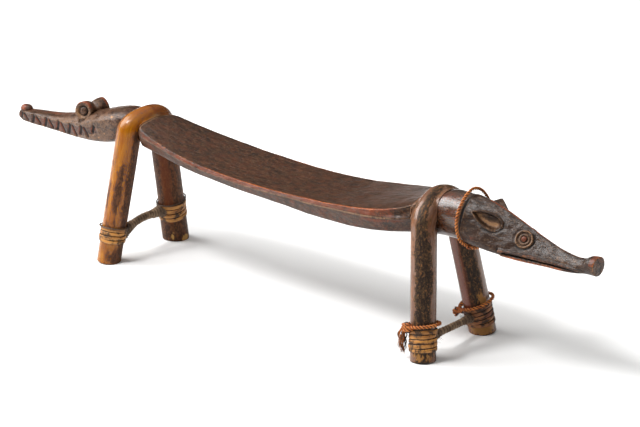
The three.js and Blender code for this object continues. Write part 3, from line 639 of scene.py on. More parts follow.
# %% Lathed eyes and the leaf-shaped ears
def on_slope(x, s, side):
    """A point of the face between edge and arris, and the direction out of it."""
    def point(px, ps):
        y = line["edge_width"](px) * (1 - ps) + line["arris_width"](px) * ps
        z = line["edge"](px) * (1 - ps) + line["arris"](px) * ps
        return np.array([px, side * float(y), float(z)])

    normal = unit(np.cross(point(x + 2, s) - point(x - 2, s), point(x, s + 0.1) - point(x, s - 0.1)))
    return point(x, s), normal * (1 if normal[1] * side > 0 else -1)


def turned(profile, around, wobble=0.0):
    """Rings of a lathed shape from (radius, height) pairs, not quite round."""
    r, h = (a[:, None] for a in np.array(profile, float).T)
    angle = circle(around)
    uneven = 1 + wobble * (np.sin(2 * angle + 0.6) + 0.6 * np.sin(5 * angle + 2) + 0.5 * np.sin(9 * angle))
    x, y = r * np.cos(angle) * uneven, r * np.sin(angle) * uneven
    return np.dstack([x, y, np.broadcast_to(h, x.shape)])


def stood(points, origin, direction):
    """The shape moved to an origin with its height along a direction."""
    up = unit(np.array(direction, float))
    first = unit(np.array([1.0, 0, 0]) - up * up[0])
    return origin + points[..., :1] * first + points[..., 1:2] * np.cross(up, first) + points[..., 2:] * up


def leaf(length, width, count):
    """The outline of an ear: pointed behind, blunt in front."""
    spans = [
        [(-0.5, 0), (-0.25, 0.5), (0.2, 0.62), (0.44, 0.36)],
        [(0.44, 0.36), (0.54, 0.2), (0.54, -0.2), (0.4, -0.4)],
        [(0.4, -0.4), (0.1, -0.62), (-0.25, -0.4), (-0.5, 0)],
    ]
    t = np.linspace(0, 1, 40)[:, None]
    fine = np.vstack([curve(t, *np.array(span)) for span in spans]) * (length, width)
    run = run_along(fine)
    at = np.linspace(0, run[-1], count + 1)
    return np.column_stack([np.interp(at, run, fine[:, k]) for k in (0, 1)])


def ear_frame(side):
    """An ear's root, and its directions to the tail, across and up."""
    ear = EARS[side]
    point, normal = on_slope(ear["x"], ear["slope"], side)
    across = unit(np.cross(normal, on_slope(ear["x"] + 14, ear["slope"], side)[0] - point))
    tail = np.cross(across, normal)
    c, s = math.cos(ear["lift"]), math.sin(ear["lift"])
    return point, tail * c - normal * s, across, tail * s + normal * c


EAR_POINTS = 72


def ear_skin(side):
    """Outer wall, rounded rim, inner wall and floor, as (inset, height) steps."""
    steps = [
        (0, -6), (0, -2), (0, 0.5), (0, 2.6), (0.15, 3.5), (0.5, 4.05), (0.95, 4.2), (1.4, 4.1), (1.9, 3.7),
        (2.3, 3.0), (2.5, 2.2), (2.7, 1.2), (3.0, 0.2), (3.7, -0.6), (4.9, -1.0), (6.4, -1.1),
    ]
    length, width = EARS[side]["length"], EARS[side]["width"]
    point, tail, across, up = ear_frame(side)
    rings = []
    for inset, height in steps:
        flat = leaf(length - 2.4 * inset, max(width - 2 * inset, 0.4), EAR_POINTS)
        rings.append(point + flat[:, :1] * tail + flat[:, 1:] * across + height * up)
    inset, height = (a[:, None] for a in np.array(steps).T)
    wear_and_highlight = np.exp(-((height - 4.1) / 0.9) ** 2)
    wall, bed = within(inset, 1.9, 3.2, 0.4), eased(inset, 3.0, 4.2)
    high = eased(flat[:, 1] * -side, 0.3, 2.4)
    # The rim's top gets a light line of wear and painted highlight; the inner wall and the upper floor are
    # painted dark as shade under the upper rim; the lower floor is painted pale as lit.
    marks = np.zeros((len(steps), EAR_POINTS + 1, 4))
    marks[..., 0] = wear_and_highlight * 0.5
    marks[..., 1] = wall * (0.45 + 0.75 * high) + bed * high * 0.95
    marks[..., 2] = bed * (1 - 0.6 * high) + 0.4 * (1 - bed)
    return np.array(rings), marks


def eye_marks(rings, profile, rim, pupil, ruddy_rim, upright, dusting):
    """Worn rim, painted shade in a ring round the pupil and inside the rim, pale below and red where hands rub.
    """
    r, h = (a[:, None] for a in np.array(profile, float).T)
    top = h.max()
    high = eased(rings[..., 2] - rings[..., 2].mean(), 2.0, 6.0)
    marks = np.zeros((*rings.shape[:2], 4))
    marks[..., 0] = np.exp(-((r - rim) / 0.9) ** 2) * (h > top - 2.2) * 0.8
    # A ring round the pupil and one inside the rim are painted dark as shade
    marks[..., 1] = np.exp(-((r - pupil - 0.3) / 0.5) ** 2) + 0.7 * np.exp(-((r - rim + 2.0) / 0.5) ** 2)
    marks[..., 2] = dusting * (r > pupil) * (0.95 - 0.5 * high) * (h > top - 2.9)
    marks[..., 2] += 0.25 + (h < top - 7) * 0.3 + 0.2 * (r < pupil)
    marks[..., 3] = ruddy_rim * high * (r > r.max() - 1.2) * (h > top - 3.5) + upright * (r < pupil)
    return marks


GOGGLE_PROFILE = [
    (7.4, -4), (8.2, -1.5), (8.9, 1), (9.2, 3.2), (9.3, 5.2), (9.3, 7.2), (9.2, 8.6),
    (8.9, 9.5), (8.3, 9.9), (7.4, 9.8), (6.6, 9.6), (6.0, 9.3), (5.6, 8.8), (5.4, 8.0),
    (5.0, 7.6), (4.5, 7.6), (4.1, 8.2), (3.6, 9.0), (2.9, 9.6), (1.7, 9.9), (0.6, 10.0),
]
RING_EYE_PROFILE = [
    (8.7, -4), (8.6, -0.6), (8.5, 0.5), (8.3, 1.2), (7.9, 1.6), (7.4, 1.65), (6.9, 1.4),
    (6.6, 0.9), (6.3, 0.1), (5.9, -0.1), (5.5, 0.2), (5.2, 0.7), (4.6, 1.0), (3.9, 0.9),
    (3.4, 0.5), (3.1, 0.1), (2.8, 0.5), (2.5, 1.3), (1.8, 1.7), (0.5, 1.8),
]
NOSE_KNOB = {"x": -344.2, "z": 109.2, "length": 6.4, "width": 5.4, "height": 4.4}
print("an ear's outline has", EAR_POINTS, "points")

# %% [markdown]
# ## The fine skin
# Where an ear or an eye stands, the bar is drawn in below it. Without that, the
# skin would show through the hollow of the ear and between the rings of the eye.
# Its border is pushed in a little and painted with shade, heaviest on the side turned away from the lamps.

# %% Hollows under ears and eyes
def hollows(rings):
    """How far the skin is drawn in under each ear and eye, and the painted shade round them."""
    depth, shade = np.zeros(rings.shape[:2]), np.zeros(rings.shape[:2])
    for side in (-1, 1):
        near = rings[..., 1] * side > 0
        point, tail, across, up = ear_frame(side)
        u, v, w = ((rings - point) @ way for way in (tail, across, up))
        half = np.where(u > 3, np.sqrt(np.clip(1 - (u / 16) ** 2, 0, 1)), np.clip(1 + u / 16, 0, 1) ** 0.75)
        inside = eased(half * 7.2 - 1.4 - np.abs(v), -0.4, 1.6) * (np.abs(w) < 12)
        depth = np.maximum(depth, inside * near * np.clip(w + 3.2, 0, 9))
        # A border round each ear, pushed in and painted as shade, heavier on its lower side
        border = within(np.abs(v) - 8.4 * half, 0.1, 1.1, 0.5) * (np.abs(w) < 8) * (np.abs(u) < 17)
        below = eased(v * side + u * 0.35, -1, 4)
        shade = np.maximum(shade, border * near * (0.25 + 0.75 * below))

        point, normal = on_slope(RING_EYE["x"], RING_EYE["slope"], side)
        local = rings - point
        distance = np.linalg.norm(local, axis=-1)
        away = np.linalg.norm(local - (local @ normal)[..., None] * normal, axis=-1)
        depth = np.maximum(depth, 2.4 * (1 - eased(away, 5.2, 7.4)) * near * (distance < 12))
        # The ring eye's border shade is painted heavier towards its lower right
        below = eased(local[..., 0] - local[..., 2], -3, 7)
        shade = np.maximum(shade, within(away, 8.7, 10, 0.5) * near * (distance < 13) * (0.2 + 0.8 * below))
    return depth, shade


def goggle_axis(side):
    place = GOGGLES[side]
    return np.array([place["x"], side * place["root"], place["z"]]), np.array([GOGGLE_YAW, side, GOGGLE_TILT])


print("the goggle eyes stand at", [GOGGLES[side]["x"] for side in GOGGLES], "mm")

# %% [markdown]
# Now the rings are placed, closely on the heads and widely on the plain seat, and
# drawn in to a point at both ends. Every cut, lip and hollow then moves the skin
# along its own direction at once. A little smooth noise comes last: it is the
# unevenness that a hand-held adze leaves.

# %% The fine skin of the bar
def daub(x, z, dx, dz):
    """A soft spot on the bar's side, seen from the front."""
    return np.exp(-((px - x) / dx) ** 2 - ((pz - z) / dz) ** 2)


places = spread((JAW_TIP, -214, 0.8), (-214, -166, 1.6), (-166, 138, 3.4), (138, 204, 2.0), (204, 348.2, 0.7))
snout_face = SNOUT_END - np.array([0.7, 0.35, 0.08] + [0] * 11)
widening = [0.12, 0.4, 0.7, 0.9]
narrowing = [1, 0.985, 0.95, 0.88, 0.8, 0.71, 0.62, 0.53, 0.44, 0.35, 0.26, 0.17, 0.09, 0.03]
shrink = np.concatenate([widening, np.ones(len(places)), narrowing])
rings = bar_rings(np.concatenate([np.full(len(widening), JAW_TIP), places, snout_face]))
for _ in range(2):
    core = rings[:, :-1]
    rings = closed((np.roll(core, 1, axis=1) + 2 * core + np.roll(core, -1, axis=1)) / 4)
heart = rings[:, :-1].mean(axis=1, keepdims=True)
rings = heart + (rings - heart) * shrink[:, None, None]

outward = np.cross(np.gradient(rings, axis=0), np.gradient(rings, axis=1))
outward /= np.linalg.norm(outward, axis=-1)[..., None] + 1e-9
outward *= np.sign((outward * (rings - heart)).sum(axis=-1))[..., None]
px, py, pz = rings[..., 0], rings[..., 1], rings[..., 2]
facing = eased(np.abs(outward[..., 1]), 0.25, 0.6)
cuts = teeth_cuts(px, pz) * facing * (px < -228)
lip = lips(px, pz) * facing * (px > 250)
pits, shade = hollows(rings)
collar = np.zeros(px.shape)
for side in (-1, 1):
    origin, _ = goggle_axis(side)
    off = np.hypot(px - origin[0], pz - origin[2])
    below = (py * side > 0) * (pz < origin[2] + 3)
    collar = np.maximum(collar, np.exp(-((off - 10.2) / 0.9) ** 2) * below)
    pits = np.maximum(pits, 2.2 * eased(9.2 - off, -0.2, 1.2) * below)
hand = np.array([noise.fractal(Vector(p) * 0.05, 1.0, 2.0, 3) for p in rings.reshape(-1, 3)]).reshape(px.shape)
slot = stroke(py, pz, (-0.9, 119.4), (1.4, 115.4), 1.2) * (px > 348.5)
# The step between the neck and the long-snouted head is cut in and painted dark as the shadow of the head's
# rear face.
step = within(px, 210.6, 213.0, 0.7) * (1 - 0.6 * eased(pz, 143, 148))
mouth_pit = daub(253.6, 112.6, 1.2, 1.6) * facing
push = lip - cuts - pits - 0.5 * collar - 0.9 * slot - 0.8 * shade - 1.5 * step - 1.4 * mouth_pit
push = push + 0.3 * hand * eased(shrink, 0.9, 1)[:, None]
rings = rings + outward * push[..., None]
print("the skin has", px.size, "points; deepest cut", round(float(cuts.max()), 2), "mm")

# %% [markdown]
# ## Painting the bar's wear, its shade and its highlights
# Four masks go with the skin: worn edges, which also carry painted highlights on
# some arrises; painted shade in the cuts and hollows, with some dark tone on the
# seat; pale dust and lighter tone, with painted highlight lines; and the red tone
# of rubbed wood. Most come from the shape itself, such as how sharply the skin
# bends, or from a place given along the bar and round it. Where two masks meet,
# the higher one counts.

# %% Helpers for painting the bar
def bend_of(surface, out):
    """How sharply the skin bends at each point: above 0 on a ridge, below in a cut."""
    core, out = surface[:, :-1], out[:, :-1]
    left, right = np.roll(core, 1, axis=1), np.roll(core, -1, axis=1)
    bend = ((core - (left + right) / 2) * out).sum(axis=-1) / (np.linalg.norm(left - right, axis=-1) + 0.3)
    span = np.linalg.norm(core[2:] - core[:-2], axis=-1) + 0.3
    bend[1:-1] += ((core[1:-1] - (core[2:] + core[:-2]) / 2) * out[1:-1]).sum(axis=-1) / span
    return closed(bend)


def soften(values):
    """Averages a mask with its neighbours, so that paint has no stairs."""
    core = values[:, :-1]
    core = (core * 2 + np.roll(core, 1, axis=1) + np.roll(core, -1, axis=1)) / 4
    core[1:-1] = (core[1:-1] * 2 + core[2:] + core[:-2]) / 4
    return closed(core)


def highest(*masks):
    """The largest of several masks at each point."""
    return functools.reduce(np.maximum, masks)


def along(low, high, soft):
    """A part of the bar's length."""
    return within(px, low, high, soft)


def round_bar(low, high, soft):
    """A strip along the bar, between two columns counted from its top."""
    return within(column, low, high, soft)


print("the skin has", rings.shape[1], "columns, of which", STEPS["top"], "lie on each half of the top")

# %% Painting the bar's marks
bend = bend_of(rings, outward)
column = np.arange(rings.shape[1])
column = np.minimum(column, rings.shape[1] - 1 - column)[None, :] + 0 * px
EDGE = STEPS["top"]
ARRIS = EDGE + STEPS["chamfer"]
LOWER = ARRIS + STEPS["side"]
JAW_LINE = [(-238, 106.2), (-229, 109.4), (-221, 115.6), (-214.5, 113.2)]
on_seat = along(-166, 150, 5)
under_goggle = along(-272, -244, 5)
from_left, from_middle = eased(px, -110, -30), eased(px, -70, 0)
roof, sill = teeth_band(px)
in_band = along(-349.5, -230.5, 1.5) * facing * eased(roof - pz, -0.3, 0.4) * eased(pz - sill, -0.8, 0.6)
jaw_line = sum(stroke(px, pz, a, b, 1.3) for a, b in zip(JAW_LINE, JAW_LINE[1:]))

wear_and_highlight = soften(eased(bend, 0.03, 0.12)) * (1 - 0.7 * on_seat) * (1 - 0.7 * in_band)
wear_and_highlight = highest(
    wear_and_highlight * (1 - 0.5 * (lip > 0.2)),
    0.5 * within(lip, 0.5, 1.3, 0.3),
    # Painted highlight: a light line along the left head's arris
    0.45 * round_bar(ARRIS - 1.5, ARRIS + 0.6, 0.8) * along(-345, -208, 6) * (1 - under_goggle),
    # A light, broken line along the seat's top edge, worn and painted as a highlight
    on_seat * (0.5 - 0.2 * hand) * round_bar(EDGE - 0.5, EDGE + 1.4, 0.4),
    on_seat * 0.8 * round_bar(ARRIS - 1.2, ARRIS + 1.0, 0.5) * from_middle,
)
# Painted shade: darker in creases, teeth cuts, the mouth slit, the hollows under ears and eyes, the snout's
# slot, the border round ears and eyes, the neck step and the mouth pit. On the seat the same mask adds dark
# tone to the chamfer and below the arris.
shade_and_dark = soften(eased(-bend, 0.03, 0.12)) * (1 - on_seat) + eased(cuts, 1.0, 1.9) + np.clip(-lip * 1.2, 0, 1)
shade_and_dark = shade_and_dark + 0.4 * eased(pits, 1, 3) * (px > 0) + slot + shade + step + mouth_pit
shade_and_dark = shade_and_dark + on_seat * 0.4 * round_bar(EDGE + 4, ARRIS - 2, 1) * from_left
shade_and_dark = shade_and_dark + on_seat * 0.4 * round_bar(ARRIS + 1.5, ARRIS + 3.5, 0.6) * from_middle

pale = highest(
    0.4 * (px < -203),
    0.62 * along(-300, -206, 14) * round_bar(EDGE + 3, LOWER, 3),
    # Painted highlight: a pale line along the left head's arris
    0.68 * round_bar(ARRIS - 2, ARRIS + 1, 1.4) * (px < -224) * (1 - 0.8 * under_goggle),
) - 0.45 * in_band
pale = highest(
    pale,
    0.2 * (px > 214) * round_bar(-9, ARRIS - 4, 5) * (1 - along(252, 272, 6) * (pz < 131)),
    0.32 * along(288, 338, 10) * (pz > line["arris"](px) + 1),
    # Painted highlight: a pale line along the seat's arris, with a little pale tone below it
    on_seat * (0.8 * round_bar(ARRIS - 1.4, ARRIS + 1.2, 0.5) + 0.12 * (column > ARRIS)),
    0.8 * collar,
    along(-171.6, -169.9, 0.5) * eased(pz, 126, 130),
    daub(-212, 133.6, 3.4, 1.6) * (py < 0) * 1.2,
)
pale = highest(pale + 0.25 * jaw_line, 0.5 * (px > 345.5))

on_top = (0.5 + 0.35 * from_left) * round_bar(EDGE - 0.5, EDGE + 3, 0.6)
ruddy = highest(
    0.4 * along(172, 210, 3) + 0.25 * in_band + 0.8 * within(cuts, 0.9, 1.7, 0.4),
    on_seat * (on_top + 0.75 * round_bar(EDGE + 3, ARRIS - 2, 1) + 0.4 * (column > ARRIS + 2)),
    0.5 * along(-172, -55, 14) * round_bar(EDGE, ARRIS - 2, 2),
    0.85 * along(116, 158, 9) * round_bar(ARRIS + 1.5, ARRIS + 7, 2),
    0.9 * round_bar(-2, 1.3, 0.6) * (px > 230),
    0.45 * eased(lip, 0.3, 0.9) + 0.4 * along(262, 330, 4) * (pz < mouth_slit(px) - 0.6) * facing,
    0.55 * round_bar(-2, 8, 3) * (px < -262),
)
ruddy = ruddy + 0.45 * jaw_line + 0.5 * daub(224, 116, 9, 6)
# The snout's end disc gets a red tone, stronger on its upper part, which is painted as lit.
ruddy = ruddy + 0.6 * along(343.5, 349.2, 1) * (0.5 + 0.7 * (pz > 116))

marks = np.dstack([wear_and_highlight, shade_and_dark, pale, ruddy])
print("mean of each mask:", marks.mean(axis=(0, 1)).round(3).tolist())

# %% Wrapping the bar, its eyes, ears and knob
bm = bmesh.new()
skin(bm, rings, marks=marks)
for side in (-1, 1):
    goggle = stood(turned(GOGGLE_PROFILE, 48, 0.012), *goggle_axis(side))
    ringed = eye_marks(goggle, GOGGLE_PROFILE, rim=6.0, pupil=4.3, ruddy_rim=1.4, upright=0.25, dusting=0.6)
    skin(bm, goggle, marks=ringed)
    ear_rings, ear_marks = ear_skin(side)
    skin(bm, ear_rings, marks=ear_marks)
    point, normal = on_slope(RING_EYE["x"], RING_EYE["slope"], side)
    point = point - normal * RING_EYE["far_sink"] * (side > 0)
    eye = stood(turned(RING_EYE_PROFILE, 48, 0.02), point, normal)
    ringed = eye_marks(eye, RING_EYE_PROFILE, rim=7.5, pupil=2.6, ruddy_rim=0.3, upright=0.8, dusting=0.45)
    skin(bm, eye, marks=ringed)
knob_profile = [(math.sin(a) ** 0.8, -math.cos(a)) for a in np.linspace(0.12, np.pi - 0.12, 15)]
knob = turned(knob_profile, 32, 0.02) * (NOSE_KNOB["length"], NOSE_KNOB["width"], NOSE_KNOB["height"])
# The knob's side towards the lamps is painted redder as lit, and its other side and underside are painted dark
# as shade.
lit_side = eased(-knob[..., 0] - 0.8 * knob[..., 1], -1.5, 3.5)
low = 1 - eased(knob[..., 2], -0.9, 0.9)
knob_marks = np.dstack([0 * lit_side, np.maximum(low, 0.35 * (1 - lit_side)), 0 * low, 0.45 + 0.55 * lit_side])
skin(bm, knob + (NOSE_KNOB["x"], 0, NOSE_KNOB["z"]), marks=knob_marks)
print("the bar's mesh has", len(bm.verts), "points with its eyes, ears and knob")

# %% [markdown]
# ## Dark carved wood
# The wood is nearly black-brown under years of handling. Its colour has layers,
# and the shader is written in their order: the brown body with its lengthwise
# grain, a grey bloom where the piece is less handled, which also carries painted
# highlight lines along some arrises, a reddish tone where hands rub, bright orange
# wood on the sharpest edges and in painted highlights, and painted shade in the
# cuts and hollows. Masks from the painted marks are broken up by noise, because
# real wear never has a clean border.

# %% The bar's finish
def carved_wood():
    f = Finish("dark_carved_wood")
    here = f.place()
    with_grain = f.place(stretch=(0.12, 1, 1))
    wear_and_highlight, shade_and_dark, pale, ruddy = f.marks()
    lengthwise = f.node("ShaderNodeSeparateXYZ", {"Vector": here})
    fibre = f.noise(with_grain, 950, detail=5, roughness=0.65)
    streak = f.noise(with_grain, 210, detail=4)
    cloud = f.noise(here, 30, detail=5, roughness=0.6)
    patch = f.noise(here, 120, detail=5, roughness=0.65)
    speck = f.noise(here, 560, detail=4, roughness=0.72)
    on_neck = f.band(lengthwise, 0.172, 0.18) * f.band(lengthwise, 0.215, 0.209)
    on_head = f.band(lengthwise, 0.211, 0.216)

    grey = f.band(pale + (speck - 0.5) * 2.4 + (patch - 0.5) * 1.2, 0.3, 0.85)
    red = f.band(ruddy + (patch - 0.5) * 1.4 + (speck - 0.5) * 0.8, 0.35, 0.95)
    bright = f.band(ruddy * 0.6 + wear_and_highlight * 0.6 + (speck - 0.5) * 1.6 + (streak - 0.5) * 1.0, 0.62, 0.95)
    edge = f.band(wear_and_highlight + (patch - 0.5) * 1.2 + (speck - 0.5) * 1.0, 0.4, 1.0)
    tan = f.band(pale + (speck - 0.5) * 0.5, 0.82, 1.0)
    pore = f.band(f.noise(with_grain, 2100, detail=2), 0.6, 0.72)
    colour = f.coats(
        f.mix(f.band(cloud * 0.5 + streak * 0.5, 0.4, 0.6), "20130a", "362013"),
        (f.band(fibre, 0.46, 0.64) * 0.75, "573a24"),
        (f.band(patch * 0.5 + speck * 0.5, 0.44, 0.6) * (0.55 - on_head * 0.35), "542812"),
        (on_head * 0.55, "22130a"),
        (f.band(speck * 0.7 + fibre * 0.3, 0.53, 0.63) * 0.6, "68523c"),
        (grey * 0.85, "70533c"),
        (red * 0.85, "6c2c06"),
        (bright * 0.85, "a85212"),
        (edge * 0.6, "a07650"),
        (tan * 0.8, "b88a62"),
        # Painted shade in cuts, creases and hollows, with some dark tone on the seat's chamfer
        (f.band(shade_and_dark + (speck - 0.5) * 0.4, 0.3, 0.85) * 0.92, "0f0704"),
        (pore * 0.6, "150b07"),
    )
    gloss = 0.2 + speck * 0.2 + grey * 0.08 + ruddy * (1 - on_neck) * 0.12 - on_neck * 0.13
    gloss = gloss + tan * 0.3 + shade_and_dark * 0.2
    form = f.bump(f.facets(f.place(stretch=(0.7, 1, 1)), 190), 0.0015, strength=0.6)
    form = f.bump(patch * 0.6 + streak * 0.4, 0.0009, under=form, strength=0.6)
    form = f.bump(fibre - pore * 0.6 + speck * 1.0, 0.00024, under=form)
    return f.done(
        Base_Color=colour, Roughness=gloss.clamped(), Normal=form, Specular_IOR_Level=0.36,
        Coat_Weight=on_neck * 0.9, Coat_Roughness=0.16,
    )


piece("carved_bar", bm, "carved_wood", carved_wood(), "headrest_bar")

# %% [markdown]
# ## Bamboo hoops
# Each pair of legs is one culm. It was pared down to its outer half in the
# middle, heated, and folded over the neck of the bar. Its path is known: two
# straight legs and two bends. The skin goes round that path, its inner side is
# held flat where the culm is pared, and where it would touch the neck it is
# pushed out to lie against it, as the heated cane does.

# %% The paths of the two culms
HOOPS = {
    "left": {
        "legs": {
            -1: {"foot": (-193.9, 45.1), "lean": 0.05, "radius": (11.4, 11.9)},
            1: {"foot": (-190.6, 45.2), "lean": 0.043, "radius": (12.8, 12.4)},
        },
        "splay": 0.196, "shoulder": 125, "top": 146.4, "neck": -183, "rise": 6, "run": 8, "pared": 120,
    },
    "right": {
        "legs": {
            -1: {"foot": (191.9, 45.6), "lean": -0.1275, "radius": (11.6, 11.8)},
            1: {"foot": (187.8, 44.9), "lean": -0.148, "radius": (12.5, 12.2)},
        },
        "splay": 0.153, "shoulder": 117, "top": 147.2, "neck": 171.5, "rise": 12, "run": 10, "pared": 115,
    },
}
PARED_DEPTH, WHOLE = 1.5, 99  # how far the inner side lies from the culm's middle, pared and not
GAP = 0.35
STRAIGHT = 60  # stations of each leg that point exactly along it


def leg_point(hoop, side, z):
    leg = hoop["legs"][side]
    return np.array([leg["foot"][0] + leg["lean"] * z, side * (leg["foot"][1] - hoop["splay"] * z), z])


def leg_direction(hoop, side):
    return unit(leg_point(hoop, side, 1) - leg_point(hoop, side, 0))


def leg_radius(hoop, side, z):
    low, high = hoop["legs"][side]["radius"]
    return low + (high - low) * z / hoop["shoulder"]


def half_bend(hoop, side, t):
    """The culm's middle from a leg's shoulder (t = 0) to the crown (t = 1)."""
    start = leg_point(hoop, side, hoop["shoulder"])
    crown = np.array([hoop["neck"], 0, hoop["top"] - leg_radius(hoop, side, hoop["shoulder"])])
    rising = start + hoop["rise"] * leg_direction(hoop, side)
    return curve(t, start, rising, crown + (0, side * hoop["run"], 0), crown)


def culm_line(hoop):
    """Middle, radius and paring depth at each station from foot to foot."""
    stations, pared = [], hoop["pared"]
    for side in (-1, 1):
        leg = [(z, WHOLE) for z in np.linspace(-0.4, pared - 0.6, 62)]
        leg += [(pared - 0.2, 6.0), (pared + 0.3, 2.2), (pared + 1, PARED_DEPTH)]
        half = [(leg_point(hoop, side, z), leg_radius(hoop, side, z), depth) for z, depth in leg]
        shoulder = leg_radius(hoop, side, hoop["shoulder"])
        half += [(half_bend(hoop, side, t), shoulder, PARED_DEPTH) for t in np.linspace(0, 1, 26)]
        stations += half if side < 0 else half[-2::-1]
    return [np.array(values) for values in zip(*stations)]


print("left culm is", round(float(run_along(culm_line(HOOPS["left"])[0])[-1])), "mm long")

# %% [markdown]
# The culm's skin is a tube with three changes: its skin is a little uneven and
# faintly ridged, its inner side is flat where it was pared, and no point of it
# may lie inside the bar. For the last, each point is compared with the bar's own
# outline at that place. The feet get a rim, a wall and a hollow, as a sawn culm.

# %% The skin of a culm
def clear_of_bar(points):
    """Moves points that lie inside the bar straight out to just off its surface."""
    flat = points.reshape(-1, 3).copy()
    spacing = 2.0
    stations = np.arange(-216, 230, spacing)
    polar = []
    for ring in bar_rings(stations):
        centre = (ring[:, 2].max() + ring[:, 2].min()) / 2
        y, z = ring[:-1, 1], ring[:-1, 2] - centre
        angle = np.arctan2(z, y)
        order = np.argsort(angle)
        polar.append((centre, angle[order], np.hypot(y, z)[order]))
    for p in flat:
        if not stations[0] < p[0] < stations[-1]:
            continue
        k = int((p[0] - stations[0]) / spacing)
        for centre, angle, reach in polar[k : k + 2]:
            out = math.hypot(p[1], p[2] - centre)
            need = np.interp(math.atan2(p[2] - centre, p[1]), angle, reach, period=2 * np.pi) + GAP
            if 0.1 < out < need:
                p[1:] = np.array([0, centre]) + (p[1:] - (0, centre)) * need / out
    return flat.reshape(points.shape)


def culm_skin(hoop, around, facets, seed):
    """Rings of a culm, with its angles round and its middle line."""
    middles, radii, depths = culm_line(hoop)
    tangent = unit(np.gradient(middles, axis=0))
    tangent[:STRAIGHT] = leg_direction(hoop, -1)
    tangent[-STRAIGHT:] = -leg_direction(hoop, 1)
    first = unit(np.array([1.0, 0, 0]) - tangent * tangent[:, :1])
    out = np.cross(first, tangent)
    angle, length = circle(around), run_along(middles)
    uneven = np.array([
        [noise.noise(Vector((math.cos(a) * 1.3, math.sin(a) * 1.3, s * 0.018 + seed))) for a in angle]
        for s in length
    ])
    ridged = facets * (np.abs(np.sin(angle * 4.5 + seed)) - 0.6)[None, :]
    r = radii[:, None] * (1 + 0.018 * uneven) + ridged
    beyond, inner_side = r * np.sin(angle), -depths[:, None]
    held = np.where(beyond > inner_side, beyond, inner_side + 0.06 * (beyond - inner_side))
    points = middles[:, None] + first[:, None] * (r * np.cos(angle))[..., None]
    points = clear_of_bar(points + out[:, None] * held[..., None])
    points[..., 2] = np.maximum(points[..., 2], 0)
    return points, grain_of(r, angle, length), angle, middles


def hollow_ends(points, grain, hoop):
    """Adds the cut ends: a rounded rim, the wall of the culm and a shallow hollow."""
    steps = [(0.97, 0.0), (0.72, 0.0), (0.68, 0.6), (0.66, 6.0), (0.4, 6.6), (0.1, 6.8)]
    for side, end in ((-1, 0), (1, -1)):
        ring, axis = points[end], leg_direction(hoop, side)
        middle = ring[:-1].mean(axis=0)
        extra = [middle + (ring - middle) * k + axis * d for k, d in steps]
        extra_grain = [grain[end] * (k, k, 1) for k, _ in steps]
        if side < 0:
            points = np.concatenate([extra[::-1], points])
            grain = np.concatenate([extra_grain[::-1], grain])
        else:
            points = np.concatenate([points, extra])
            grain = np.concatenate([grain, extra_grain])
    return points, grain, len(steps)


print("the culms keep", GAP, "mm off the bar")

# %% [markdown]
# ## Where the bamboo is stained
# The skin of the left culm is still a clear gold, with a brown crust of old
# soot and handling that has flaked away in ragged islands. The islands that show
# plainly are placed by their height on the leg and how far round it they sit, and
# the shader only breaks their borders up. The right culm is brown all over with
# a dark speckled stripe down its outer side.

# %% Painted marks of the culms
TOWARDS_CAMERA = math.radians(49)
# Strength, height and turn of each island, then its half height and half turn
LEFT_CRUST = [
    (1.2, 70, 0.16, 24, 0.42), (1.15, 66, -0.92, 90, 0.6), (0.95, 110, -0.72, 28, 0.42),
    (0.6, 34, 0.3, 16, 0.9), (0.72, 66, 1.05, 26, 0.2), (0.85, 6, -0.5, 12, 0.8), (0.55, 60, 2.9, 60, 1.1),
]


def hoop_marks(which, points, angle, middles, extra):
    """Stain, chips, dust and red of a culm; extra rings at each end copy the last one."""
    pad = np.pad(middles, ((extra, extra), (0, 0)), mode="edge")
    height = np.broadcast_to(pad[:, 2:3], points.shape[:2])
    near = pad[:, 1:2] < 0
    far = 1 - near
    # The camera faces this angle of a near leg; a far leg shows its inner side
    turn = angle[None, :] + np.where(near, -TOWARDS_CAMERA, TOWARDS_CAMERA)

    def spot(z, f, dz, df):
        """A soft oval spot at height z and f radians round from the camera's side."""
        off = np.abs((turn - f + np.pi) % (2 * np.pi) - np.pi)
        return np.exp(-((height - z) / dz) ** 2 - (off / df) ** 2)

    dusty = np.zeros(points.shape[:2])
    if which == "left":
        stain = highest(*(strength * spot(*place) for strength, *place in LEFT_CRUST))
        stain = stain * near + far * (0.95 * (1 - eased(height, 118, 136)))
        chip = far * (spot(8, -0.15, 5, 0.16) + spot(3, 0.9, 4, 0.5))
        dusty = np.exp(-((points[..., 0] + 171) / 4) ** 2) * eased(height, 128, 140)
        inner_red = (0.25 + 0.75 * spot(60, -0.1, 90, 0.3)) * eased(height, 14, 34)
        ruddy = 0.4 * eased(height, 116, 134) + far * inner_red
    else:
        stain = 0.55 + 0.62 * spot(60, 0.12, 72, 0.62) - 0.3 * spot(80, -0.95, 70, 0.3)
        stain = stain - 0.6 * spot(136, -0.5, 18, 0.6) - 0.5 * spot(60, 1.1, 90, 0.3)
        stain = stain - 0.5 * far * spot(60, -0.8, 90, 0.4)
        chip = 0.6 * near * (spot(4, 0.6, 7, 0.5) + spot(3, -0.4, 6, 0.6))
        chip = chip + far * (1.1 * spot(8, 0.2, 9, 1.3) + 0.9 * spot(34, 0.5, 8, 0.45))
        ruddy = far * 1.1 * spot(60, -0.8, 90, 0.5) + 0.8 * eased(height, 136, 142)
    return np.dstack([stain, chip, dusty, ruddy])


print("the left culm has", len(LEFT_CRUST), "islands of crust")

# %% [markdown]
# ## Bamboo skin
# Bamboo has a glossy skin with fibres that run straight along it. Over that lie
# scratches, the crust with its lighter rim, and pale chips at the feet. The crust
# is rough and takes the gloss away, so the clear coat stops where it begins. Both
# culms share one recipe and differ only in their paints.

